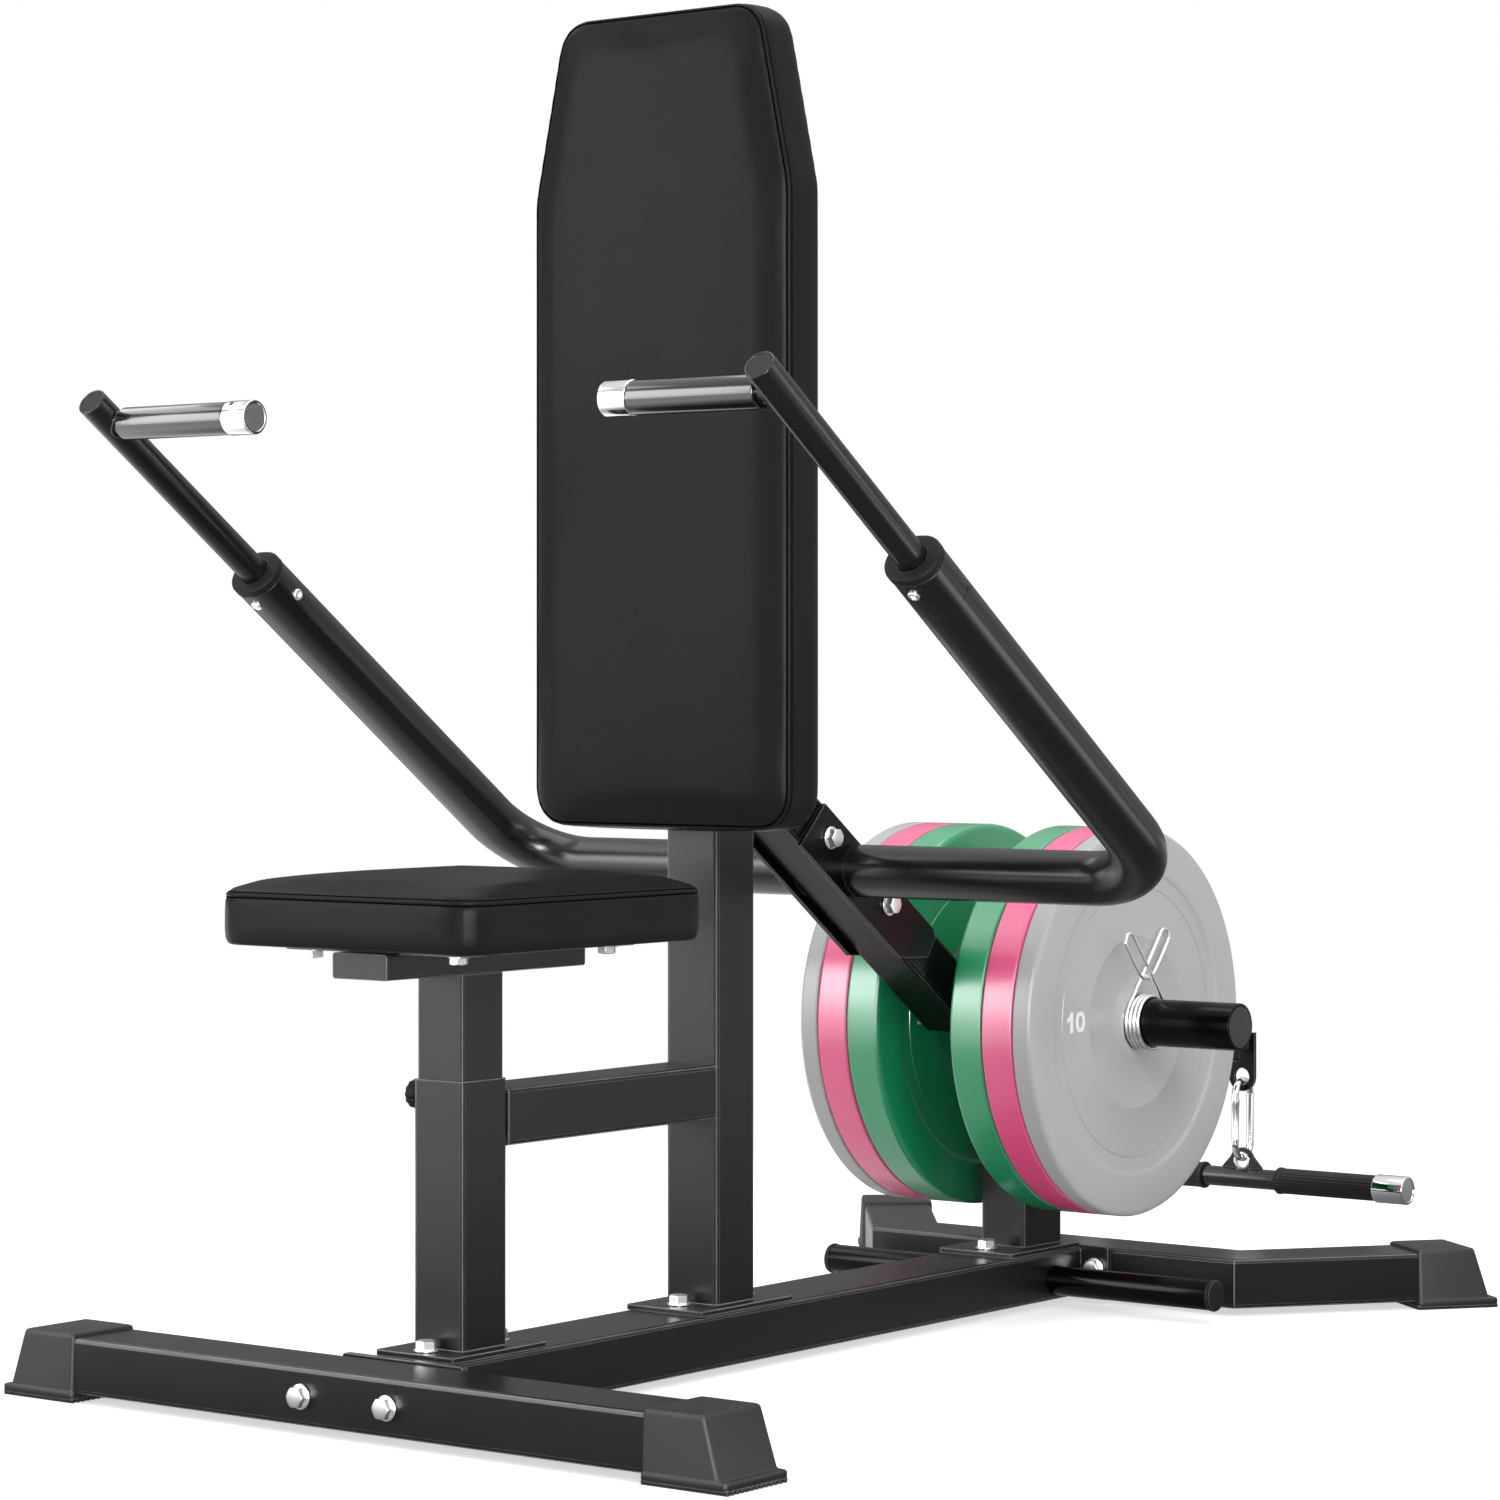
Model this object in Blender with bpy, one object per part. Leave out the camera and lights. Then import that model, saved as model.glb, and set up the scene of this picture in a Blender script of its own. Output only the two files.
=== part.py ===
"""Seated dip machine: a press lever on a back post, with a seat, plates on two horns and a bar at its tail.

Written in millimetres in machine coordinates: +X to the right, the front faces -Y, the floor at z = 0
and y = 0 at the front face of the crossbar. add() turns that into metres with the origin at the bottom
centre of the whole.
"""

import math

import bmesh
import bpy
from mathutils import Matrix, Vector

# Whole machine
Y_MID = 742.15          # middle of the machine's length, moved to y = 0
GAP = 0.3               # between neighbouring pieces
BOLT_SIDES = 12
TUBE_Z0, TUBE_Z1 = 7.9, 57.9
WALL = 2.5

# Front crossbar and feet
CROSSBAR_HALF = 378.0
CROSSBAR_DEPTH = 73.4
FOOT_START_X = CROSSBAR_HALF - 55.0
FOOT_TOP_LENGTH, FOOT_SOLE_LENGTH = 63.0, 89.0
FOOT_TOP_HALF, FOOT_SOLE_HALF = 38.3, 41.7
FOOT_HEIGHT = 61.6
CROSSBAR_BOLT_X = 49.0

# Main rail and rear stabiliser
RAIL_HALF = 44.7
RAIL_Y0, RAIL_Y1 = 79.5, 1074.2
JOINT_PLATE = 6.0
FRONT_PLATE_HALF, REAR_PLATE_HALF = 69.0, 78.0
STABILISER_Y0 = 1080.0
STABILISER_BEND_X = 225.0
LEG_ANGLE = math.radians(52.0)
LEG_LENGTH, LEG_FOOT_AT = 236.0, 181.0
REAR_BOLT_X = 62.0

# Posts, base plates and brace
PLATE_Z0, PLATE_Z1 = 58.2, 63.2
SLEEVE = (28.3, 120.4, 179.7, 296.3)
INNER_POST = (26.3, 122.6, 177.5, 142.0, 388.7)
BRACE_HALF, BRACE_Z0, BRACE_Z1 = 30.0, 236.4, 286.6
BACK_POST = (30.0, 476.8, 535.7, 1200.0)
REST_POST = (27.3, 996.0, 1065.4, 246.0)
SLEEVE_PLATE, SLEEVE_BOLTS = (31.4, 35.3), (15.4, 19.3)     # reach in front of and behind the post
BACK_PLATE, BACK_BOLTS = (41.8, 41.3), (18.8, 20.3)
REST_PLATE, REST_BOLT = (51.0, 7.6), 30.0
KNOB_Y, KNOB_Z = 150.0, 280.0
PIN_STEP = 25.0
PEG_Y, PEG_Z, PEG_R, PEG_END = 1024.8, 28.6, 15.0, 235.0

# Seat
SEAT_HALF, SEAT_Y0, SEAT_Y1 = 151.0, -8.5, 318.0
SEAT_Z0, SEAT_EDGE, SEAT_CROWN = 415.0, 463.0, 474.0
BRACKET = (31.0, 20.0, 283.5, 389.0, 411.4)
STRAP_YS, STRAP_BOLT_X = (53.0, 250.0), 83.0
STRAP_HALF = 103.0

# Back pad
BACK_HALF, BACK_TOP_HALF = 151.0, 116.0
BACK_Z0, BACK_TAPER_Z, BACK_Z1 = 506.0, 1095.0, 1262.0
BACK_Y0, BACK_Y1 = 422.0, 476.5

# Press lever
PITCH = math.radians(35.2)
PIVOT = (580.0, 543.0)
LEVER_HALF, LEVER_DEPTH, LEVER_WALL = 27.5, 25.0, 3.0
LEVER_FRONT = -26.5
BEND_Y = 905.0
HORN = (1031.8, 297.8)
TAIL_Y = 1420.0
SADDLE_S0, SADDLE_S1, SADDLE_LOW, SADDLE_HIGH = 55.0, 292.0, -32.0, 22.5
SADDLE_BOLTS = (87.6, 205.2)
ARM_S = 145.4
ARM_X, ARM_BEND, ARM_LENGTH = 382.0, 80.0, 490.0
ARM_WIDE, ARM_THICK, ARM_WALL = 27.0, 24.0, 2.6
ROD_R, ROD_START, ROD_TIP, BAR_AT = 14.0, 392.0, 761.0, 727.0
GRIP_R, GRIP_OUT, GRIP_IN = 15.0, 365.0, 232.0
COLLAR_END = 203.0

# Horns, plates and spring collars
HORN_R, HORN_END = 23.8, 261.6
PLATE_R = 197.0
PLATES = (("green", 43.3, 81.8), ("pink", 82.1, 118.3), ("gray", 118.6, 141.1))
COIL_R, WIRE_R, COIL_PITCH, COIL_TURNS = 26.6, 1.9, 4.6, 3

# Tail eye, carabiner and attachment bar
EYE_Y, EYE_HOLE_Z, EYE_HOLE_R, EAR_HOLE_R = 1474.0, 203.0, 9.5, 8.0
LINK_R, LINK_HALF, LINK_TOP, LINK_LONG = 4.0, 16.0, 198.1, 86.0
EAR_HALF, LINK_LIFT = 2.0, 0.7
BAR_Z, BAR_R = 90.0, 11.0

COLOURS = {
    "frame": ((0.022, 0.022, 0.024), 0.42, 0.3),
    "leather": ((0.028, 0.028, 0.030), 0.55, 0.0),
    "rubber": ((0.018, 0.018, 0.018), 0.7, 0.0),
    "gloss": ((0.010, 0.010, 0.010), 0.2, 0.0),
    "chrome": ((0.82, 0.82, 0.84), 0.15, 1.0),
    "wood": ((0.035, 0.032, 0.030), 0.8, 0.0),
    "green": ((0.004, 0.195, 0.062), 0.5, 0.0),
    "pink": ((0.85, 0.075, 0.235), 0.5, 0.0),
    "gray": ((0.43, 0.43, 0.44), 0.5, 0.0),
}


def clear_scene():
    for old in list(bpy.data.objects):
        bpy.data.objects.remove(old, do_unlink=True)


def collection(name):
    made = bpy.data.collections.new(name)
    bpy.context.scene.collection.children.link(made)
    return made


clear_scene()
PARTS = collection("Parts")
HELPERS = collection("Helpers")


def material(name, look):
    colour, rough, metal = COLOURS[look]
    made = bpy.data.materials.new(name)
    made.use_nodes = True
    shader = made.node_tree.nodes["Principled BSDF"]
    shader.inputs["Base Color"].default_value = (*colour, 1.0)
    shader.inputs["Roughness"].default_value = rough
    shader.inputs["Metallic"].default_value = metal
    made.diffuse_color = (*colour, 1.0)
    return made


def add(name, data, look=None, side=1, origin=(0.0, 0.0, 0.0)):
    """Makes an object from (points, faces) in machine millimetres; with no look it is a helper."""
    points, faces = data
    o = Vector((side * origin[0], origin[1] - Y_MID, origin[2]))
    mesh = bpy.data.meshes.new(name)
    mesh.from_pydata(
        [(Vector((side * p[0], p[1] - Y_MID, p[2])) - o) * 0.001 for p in points], [], faces
    )
    work = bmesh.new()
    work.from_mesh(mesh)
    bmesh.ops.recalc_face_normals(work, faces=work.faces)
    work.to_mesh(mesh)
    work.free()
    mesh.shade_smooth()
    mesh.set_sharp_from_angle(angle=math.radians(32))
    obj = bpy.data.objects.new(name, mesh)
    obj.location = o * 0.001
    if look:
        mesh.materials.append(material(name, look))
        PARTS.objects.link(obj)
    else:
        HELPERS.objects.link(obj)
        obj.hide_render = True
        obj.display_type = "WIRE"
    return obj


def boolean(obj, other, operation):
    mod = obj.modifiers.new(other.name, "BOOLEAN")
    mod.operation = operation
    mod.solver = "EXACT"
    mod.object = other


def cut(other, *objs):
    for obj in objs:
        boolean(obj, other, "DIFFERENCE")


def weld(obj, *others):
    for other in others:
        boolean(obj, other, "UNION")


def loft(rings, closed=False):
    """Points and faces through rings of equal count, with flat ends, or closed round when asked."""
    n = len(rings[0])
    points = [tuple(p) for ring in rings for p in ring]
    faces = []
    for i in range(len(rings) if closed else len(rings) - 1):
        a, b = i * n, ((i + 1) % len(rings)) * n
        faces += [(a + j, a + (j + 1) % n, b + (j + 1) % n, b + j) for j in range(n)]
    if not closed:
        faces.append(tuple(range(n)))
        faces.append(tuple((len(rings) - 1) * n + j for j in reversed(range(n))))
    return points, faces


def circle(r, n, start=0.0):
    return [
        (r * math.cos(start + 2 * math.pi * k / n), r * math.sin(start + 2 * math.pi * k / n))
        for k in range(n)
    ]


def hexagon(r, n):
    """n points on a hexagon of corner radius r, n a multiple of six."""
    made = []
    for k in range(n):
        t = 2 * math.pi * k / n
        made.append(
            (
                r * math.cos(math.pi / 6) / math.cos(t % (math.pi / 3) - math.pi / 6) * math.cos(t),
                r * math.cos(math.pi / 6) / math.cos(t % (math.pi / 3) - math.pi / 6) * math.sin(t),
            )
        )
    return made


def corner_path(corners, radii, steps):
    """A closed outline through corners, each rounded by its radius."""
    made = []
    for i, here in enumerate(corners):
        here = Vector(here)
        to_last = (Vector(corners[i - 1]) - here).normalized()
        to_next = (Vector(corners[(i + 1) % len(corners)]) - here).normalized()
        half = math.acos(max(-1.0, min(1.0, to_last.dot(to_next)))) / 2
        r = radii[i]
        if r <= 0:
            made.append(tuple(here))
            continue
        centre = here + (to_last + to_next).normalized() * (r / math.sin(half))
        first = here + to_last * (r / math.tan(half)) - centre
        turn = math.pi - 2 * half
        sign = 1.0 if to_last.x * to_next.y - to_last.y * to_next.x < 0 else -1.0
        for k in range(steps + 1):
            t = sign * turn * k / steps
            c, s = math.cos(t), math.sin(t)
            made.append(
                (centre.x + first.x * c - first.y * s, centre.y + first.x * s + first.y * c)
            )
    return made


def rect(half_w, half_h, r=4.0, steps=2):
    corners = [(-half_w, -half_h), (half_w, -half_h), (half_w, half_h), (-half_w, half_h)]
    return corner_path(corners, [r] * 4, steps)


def inset(outline, by):
    """The outline moved inwards along its normals."""
    made = []
    n = len(outline)
    for i in range(n):
        a, b, c = Vector(outline[i - 1]), Vector(outline[i]), Vector(outline[(i + 1) % n])
        d1, d2 = (b - a).normalized(), (c - b).normalized()
        n1, n2 = Vector((-d1.y, d1.x)), Vector((-d2.y, d2.x))
        m = (n1 + n2).normalized()
        made.append(tuple(b + m * (by / max(0.5, m.dot(n1)))))
    return made


def box(x0, x1, y0, y1, z0, z1):
    low = [(x0, y0, z0), (x1, y0, z0), (x1, y1, z0), (x0, y1, z0)]
    return loft([low, [(x, y, z1) for x, y, _ in low]])


def along(axis, outline, a0, a1, centre=(0.0, 0.0)):
    """An outline in the plane across an axis, extruded from a0 to a1 on it."""
    return loft([lay(axis, outline, a, centre) for a in (a0, a1)])


def lay(axis, outline, a, centre=(0.0, 0.0)):
    u0, v0 = centre
    if axis == "x":
        return [(a, u + u0, v + v0) for u, v in outline]
    if axis == "y":
        return [(u + u0, a, v + v0) for u, v in outline]
    return [(u + u0, v + v0, a) for u, v in outline]


def pipe(axis, outline, wall, a0, a1, centre=(0.0, 0.0)):
    """A straight tube, open at both ends."""
    inner = inset(outline, wall)
    rings = [lay(axis, outline, a0, centre), lay(axis, outline, a1, centre)]
    rings += [lay(axis, inner, a1, centre), lay(axis, inner, a0, centre)]
    return loft(rings, closed=True)


def turned(axis, profile, centre, n, closed=False):
    """A profile of (position on the axis, radius) turned round it; closed when it has a bore."""
    return loft([lay(axis, circle(r, n), a, centre) for a, r in profile], closed)


def bolt(axis, at, centre, out, shank, hex_r=9.6, head=7.5, washer_r=11.0, shank_r=5.0, nut=None):
    """A hex bolt: head and washer standing on the face at `at`, pointing `out`, the shank behind."""
    n = BOLT_SIDES
    rings = [
        (out * (2.2 + head), [(0.86 * u, 0.86 * v) for u, v in circle(hex_r, n)]),
        (out * (1.0 + head), hexagon(hex_r, n)),
        (out * 2.2, hexagon(hex_r, n)),
        (out * 2.2, circle(washer_r, n)),
        (out * GAP, circle(washer_r, n)),
        (out * GAP, circle(shank_r, n)),
    ]
    if nut is None:
        rings.append((-out * shank, circle(shank_r, n)))
    else:
        rings += [
            (-out * nut, circle(shank_r, n)),
            (-out * nut, hexagon(hex_r, n)),
            (-out * (nut + 7.0), hexagon(hex_r, n)),
            (-out * (nut + 7.0), circle(shank_r, n)),
            (-out * shank, circle(shank_r, n)),
        ]
    return loft([lay(axis, ring, at + a, centre) for a, ring in rings])


def sweep(path, r, n, closed=False):
    """A round wire along a path, with frames carried along so that it doesn't twist."""
    path = [Vector(p) for p in path]
    count = len(path)
    if closed:
        tangents = [(path[(i + 1) % count] - path[i - 1]).normalized() for i in range(count)]
    else:
        tangents = [
            (path[min(i + 1, count - 1)] - path[max(i - 1, 0)]).normalized() for i in range(count)
        ]
    side = tangents[0].orthogonal().normalized()
    rings = []
    for p, t in zip(path, tangents):
        side = (side - t * side.dot(t)).normalized()
        up = t.cross(side)
        rings.append([p + side * u + up * v for u, v in circle(r, n)])
    return loft(rings, closed)


def lever_point(s, n=0.0):
    """(y, z) at distance s down the lever from the pivot and n above its middle line."""
    return (
        PIVOT[0] + s * math.cos(PITCH) + n * math.sin(PITCH),
        PIVOT[1] - s * math.sin(PITCH) + n * math.cos(PITCH),
    )


def arm_point(x, a, n=0.0):
    """A point in the arm tube's own plane: a is the distance forwards from its cross part."""
    y, z = lever_point(ARM_S - a, n)
    return (x, y, z)


# Front crossbar and feet


def foot(name, matrix):
    """A rubber foot: local x runs out along the tube from the foot's inner end."""
    layers = [
        (0.0, 0.5, FOOT_SOLE_LENGTH - 1.0, FOOT_SOLE_HALF - 0.8, 4.0),
        (8.0, 0.0, FOOT_SOLE_LENGTH, FOOT_SOLE_HALF, 4.0),
        (10.5, 0.0, 78.5, FOOT_SOLE_HALF - 0.3, 3.0),
        (59.6, 0.0, FOOT_TOP_LENGTH + 0.6, FOOT_TOP_HALF + 0.1, 3.0),
        (FOOT_HEIGHT, 1.2, FOOT_TOP_LENGTH - 1.4, FOOT_TOP_HALF - 1.8, 2.0),
    ]
    rings = []
    for z, x0, x1, half, r in layers:
        outline = rect((x1 - x0) / 2, half, r)
        rings.append([matrix @ Vector((u + (x0 + x1) / 2, v, z)) for u, v in outline])
    obj = add(name, loft(rings), "rubber")
    low = [(-6.0, -37.0, 7.6), (57.0, -37.0, 7.6), (57.0, 37.0, 7.6), (-6.0, 37.0, 7.6)]
    pocket = [[matrix @ Vector(p) for p in low]]
    pocket.append([matrix @ Vector((x, y, 58.2)) for x, y, _ in low])
    cut(add(name + "_pocket", loft(pocket)), obj)


def build_base():
    mid_z = (TUBE_Z0 + TUBE_Z1) / 2
    mid_y = CROSSBAR_DEPTH / 2
    crossbar = add(
        "front_crossbar",
        pipe("x", rect(mid_y, 25.0), WALL, -CROSSBAR_HALF, CROSSBAR_HALF, (mid_y, mid_z)),
        "frame",
    )
    front_plate_y = CROSSBAR_DEPTH + GAP
    rail = add(
        "main_rail",
        pipe("y", rect(RAIL_HALF, 25.0), WALL, RAIL_Y0, RAIL_Y1, (0.0, mid_z)),
        "frame",
    )
    rear_plate_y = STABILISER_Y0 - GAP - JOINT_PLATE
    plates = (
        ("front", FRONT_PLATE_HALF, front_plate_y, CROSSBAR_BOLT_X),
        ("rear", REAR_PLATE_HALF, rear_plate_y, REAR_BOLT_X),
    )
    for end, half, y, _ in plates:
        outline = rect(half, 27.5, 3.0)
        plate = add(f"{end}_joint", along("y", outline, y, y + JOINT_PLATE, (0.0, 32.5)))
        weld(rail, plate)
        hole = add(f"{end}_joint_hole", turned("y", [(y - 9, 13.0), (y + 15, 13.0)], (0, 33), 20))
        cut(hole, rail)
    stabiliser = add("rear_stabiliser", stabiliser_mesh(), "frame")
    for side, word in ((-1, "left"), (1, "right")):
        x = side * CROSSBAR_BOLT_X
        add(
            f"crossbar_bolt_{word}",
            bolt("y", 0.0, (x, 33.2), -1, front_plate_y + JOINT_PLATE - GAP),
            "chrome",
        )
        hole = add(f"crossbar_hole_{word}", turned("y", [(-5, 5.3), (80, 5.3)], (x, 33.2), BOLT_SIDES))
        cut(hole, crossbar, rail)
        x = side * REAR_BOLT_X
        add(f"rear_bolt_{word}", bolt("y", rear_plate_y, (x, 37.0), -1, 15.0), "chrome")
        hole = add(
            f"rear_hole_{word}",
            turned("y", [(rear_plate_y - 5, 5.3), (rear_plate_y + 18, 5.3)], (x, 37.0), BOLT_SIDES),
        )
        cut(hole, rail, stabiliser)
        flip = Matrix.Diagonal((side, 1, 1, 1))
        foot(f"front_foot_{word}", flip @ Matrix.Translation((FOOT_START_X, mid_y, 0)))
        cx, cy = leg_corner(0.0)
        out = Vector((math.cos(LEG_ANGLE), math.sin(LEG_ANGLE)))
        at = Vector((cx, cy)) + out * LEG_FOOT_AT
        turn = Matrix.Rotation(LEG_ANGLE, 4, "Z")
        foot(f"rear_foot_{word}", flip @ Matrix.Translation((at.x, at.y, 0)) @ turn)
        peg = [
            (PEG_END - 5, PEG_R - 2.2),
            (RAIL_HALF + GAP, PEG_R - 2.2),
            (RAIL_HALF + GAP, PEG_R),
            (PEG_END - 1.5, PEG_R),
            (PEG_END, PEG_R - 1.5),
        ]
        add(f"storage_peg_{word}", turned("x", peg, (PEG_Y, PEG_Z), 20), "frame", side)
    return rail


def leg_corner(offset):
    """The bend's corner on the line `offset` behind the stabiliser's centre line."""
    half = LEG_ANGLE / 2
    reach = CROSSBAR_DEPTH / 2 + offset
    return (
        STABILISER_BEND_X - reach * math.tan(half),
        STABILISER_Y0 + CROSSBAR_DEPTH / 2 + offset,
    )


def stabiliser_mesh():
    """The bent tube: rings at each leg's end and at each bend, outside then inside."""
    half = CROSSBAR_DEPTH / 2
    mid_z = (TUBE_Z0 + TUBE_Z1) / 2

    def rings(outline):
        made = []
        cut_dir = Vector((-math.sin(LEG_ANGLE / 2), math.cos(LEG_ANGLE / 2)))
        for side, ends in ((-1, (True, False)), (1, (False, True))):
            for end in ends:
                ring = []
                for u, v in outline:
                    cx, cy = leg_corner(0.0)
                    if end:
                        out = Vector((math.cos(LEG_ANGLE), math.sin(LEG_ANGLE)))
                        p = Vector((cx, cy)) + out * LEG_LENGTH + Vector((-out.y, out.x)) * u
                    else:
                        p = Vector((cx, cy)) + cut_dir * (u / math.cos(LEG_ANGLE / 2))
                    ring.append((side * p.x, p.y, mid_z + v))
                made.append(ring)
        return made

    outer = rect(half, 25.0)
    return loft(rings(outer) + rings(inset(outer, WALL))[::-1], closed=True)


# Posts


def base_bolts(rail, post, name, front_y, rear_y):
    """The bolt in front of a post is its own piece, the one behind it is one body with the post."""
    add(f"{name}_base_bolt", bolt("z", PLATE_Z1, (0.0, front_y), 1, 14.0), "chrome")
    hole = add(f"{name}_front_hole", turned("z", [(46, 5.3), (70, 5.3)], (0.0, front_y), BOLT_SIDES))
    cut(hole, rail, post)
    if rear_y is None:
        return
    head = bolt("z", PLATE_Z1 - 1.0, (0.0, rear_y), 1, 13.0)
    weld(post, add(f"{name}_rear_bolt", head))
    cut(add(f"{name}_rear_hole", turned("z", [(46, 5.3), (58.05, 5.3)], (0, rear_y), BOLT_SIDES)), rail)


def base_plate(post, name, y0, y1):
    outline = corner_path(
        [(-RAIL_HALF, y0), (RAIL_HALF, y0), (RAIL_HALF, y1), (-RAIL_HALF, y1)], [3.0] * 4, 2
    )
    weld(post, add(f"{name}_plate", along("z", outline, PLATE_Z0, PLATE_Z1)))


def build_posts(rail):
    half, y0, y1, top = SLEEVE
    mid = (0.0, (y0 + y1) / 2)
    sleeve = add(
        "seat_sleeve",
        pipe("z", rect(half, (y1 - y0) / 2, 3.5), 1.8, 61.0, top, mid),
        "frame",
    )
    base_plate(sleeve, "seat_sleeve", y0 - SLEEVE_PLATE[0], y1 + SLEEVE_PLATE[1])
    barrel = turned("x", [(-half - 12, 10.0), (-half + 1.0, 10.0)], (KNOB_Y, KNOB_Z), 16)
    weld(sleeve, add("knob_barrel", barrel))
    bore = turned("x", [(-half - 14, 5.2), (-half + 4.0, 5.2)], (KNOB_Y, KNOB_Z), 16)
    cut(add("knob_bore", bore), sleeve)
    base_bolts(rail, sleeve, "seat", y0 - SLEEVE_BOLTS[0], y1 + SLEEVE_BOLTS[1])

    brace = rect(BRACE_HALF, (BRACE_Z1 - BRACE_Z0) / 2)
    add(
        "brace",
        pipe("y", brace, WALL, y1 + GAP, BACK_POST[1] - GAP, (0.0, (BRACE_Z0 + BRACE_Z1) / 2)),
        "frame",
    )

    half, y0, y1, top = BACK_POST
    mid = (0.0, (y0 + y1) / 2)
    post = add(
        "back_post",
        pipe("z", rect(half, (y1 - y0) / 2), WALL, 61.0, top, mid),
        "frame",
    )
    base_plate(post, "back_post", y0 - BACK_PLATE[0], y1 + BACK_PLATE[1])
    lid = along("z", inset(rect(half, (y1 - y0) / 2), 1.2), top - 3.0, top + 1.0, mid)
    weld(post, add("back_post_lid", lid))
    drain = turned("z", [(50.0, 15.0), (66.0, 15.0)], mid, 20)
    cut(add("back_post_drain", drain), post)
    base_bolts(rail, post, "back", y0 - BACK_BOLTS[0], y1 + BACK_BOLTS[1])

    half, y0, y1, top = REST_POST
    mid = (0.0, (y0 + y1) / 2)
    rest = add(
        "rest_post",
        pipe("z", rect(half, (y1 - y0) / 2), WALL, 61.0, top, mid),
        "frame",
    )
    base_plate(rest, "rest_post", y0 - REST_PLATE[0], y1 + REST_PLATE[1])
    base_bolts(rail, rest, "rest", y0 - REST_BOLT, None)
    under = [lever_under(y) - GAP for y in (y0, y1)]
    low = [(-half, y0), (half, y0), (half, y1), (-half, y1)]
    rings = [
        [(x, y, top + GAP) for x, y in low],
        [(x, y, under[0] if y == y0 else under[1]) for x, y in low],
    ]
    bumper = add("rest_bumper", loft(rings), "rubber")
    plug = along("z", rect(half - 3.2, (y1 - y0) / 2 - 3.2), top - 14.0, top + 4.0, mid)
    weld(bumper, add("rest_bumper_plug", plug))


def lever_under(y):
    """Height of the lever's underside behind its bend."""
    rise = tail_rise()
    return HORN[1] + rise * (y - HORN[0]) - LEVER_DEPTH * math.sqrt(1 + rise * rise)


def tail_rise():
    z = lever_bend()[1]
    return (HORN[1] - z) / (HORN[0] - BEND_Y)


def lever_bend():
    s = (BEND_Y - PIVOT[0]) / math.cos(PITCH)
    return lever_point(s)


# Seat


def pad_rings(outline, place, profile):
    """Rings of a pad: profile holds (height, inset), place turns (u, v, height) into a point."""
    rings = []
    for height, by in profile:
        ring = inset(outline, by) if by < 34.0 else shrink(inset(outline, 33.0), 1 - (by - 34) / 100)
        rings.append([place(u, v, height) for u, v in ring])
    return rings


def shrink(outline, k):
    cu = (min(u for u, _ in outline) + max(u for u, _ in outline)) / 2
    cv = (min(v for _, v in outline) + max(v for _, v in outline)) / 2
    return [(cu + (u - cu) * k, cv + (v - cv) * k) for u, v in outline]


def build_seat():
    half, y0, y1, z0, z1 = INNER_POST
    mid = (0.0, (y0 + y1) / 2)
    centre = (0.0, KNOB_Y, 0.0)
    post = add(
        "seat_inner_post",
        pipe("z", rect(half, (y1 - y0) / 2, 3.0), 2.2, z0, z1, mid),
        "frame",
        origin=centre,
    )
    for k in range(8):
        z = KNOB_Z + (k - 4) * PIN_STEP
        cut(add(f"pin_hole_{k}", turned("x", [(-32, 5.5), (-20, 5.5)], (KNOB_Y, z), 8)), post)

    half, y0, y1, z0, z1 = BRACKET
    mid_z = (z0 + z1) / 2
    bracket = add(
        "seat_bracket",
        pipe("y", rect(half, (z1 - z0) / 2, 2.5), 2.2, y0 + 2.0, y1, (0.0, mid_z)),
        "frame",
        origin=centre,
    )
    front = along("y", rect(half, (z1 - z0) / 2, 2.5), y0, y0 + 3.0, (0.0, mid_z))
    weld(bracket, add("seat_bracket_front", front))
    for i, y in enumerate(STRAP_YS):
        outline = corner_path(
            [(-STRAP_HALF, y - 16), (STRAP_HALF, y - 16), (STRAP_HALF, y + 16), (-STRAP_HALF, y + 16)],
            [4.0] * 4,
            2,
        )
        weld(bracket, add(f"strap_{i}", along("z", outline, z1 - 0.6, SEAT_Z0 - GAP)))
        for side, word in ((-1, "left"), (1, "right")):
            head = bolt("z", z1, (side * STRAP_BOLT_X, y), -1, 1.5, 8.0, 5.5, 9.5, 4.0)
            weld(bracket, add(f"strap_bolt_{i}_{word}", head))

    corners = [
        (-SEAT_HALF, SEAT_Y0), (SEAT_HALF, SEAT_Y0), (SEAT_HALF, SEAT_Y1), (-SEAT_HALF, SEAT_Y1)
    ]
    outline = corner_path(corners, [34.0] * 4, 5)
    board = inset(outline, 12.0)
    add("seat_board", along("z", board, SEAT_Z0, SEAT_Z0 + 10.0), "wood", origin=centre)
    profile = [
        (SEAT_Z0 + 10.3, 11.5),
        (SEAT_Z0, 11.5),
        (SEAT_Z0, 4.0),
        (SEAT_Z0 + 3.5, 1.2),
        (SEAT_Z0 + 12.0, 0.0),
        (SEAT_EDGE - 14.0, 0.2),
        (SEAT_EDGE - 4.0, 1.6),
        (SEAT_EDGE, 4.5),
        (SEAT_EDGE + 2.4, 14.0),
        (SEAT_EDGE + 6.0, 33.0),
        (SEAT_CROWN, 84.0),
    ]
    rings = pad_rings(outline, lambda u, v, h: (u, v, h), profile)
    add("seat_pad", loft(rings), "leather", origin=centre)

    x = -SLEEVE[0]
    knob = [
        (x + 1.3, 4.9),
        (x - 12.3, 4.9),
        (x - 12.3, 7.5),
        (x - 13.5, 8.5),
        (x - 15.0, 12.6),
        (x - 24.5, 13.2),
        (x - 27.0, 11.5),
        (x - 28.0, 8.0),
    ]
    add(
        "pull_knob",
        turned("x", knob, (KNOB_Y, KNOB_Z), 16),
        "gloss",
        origin=(x, KNOB_Y, KNOB_Z),
    )


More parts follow.
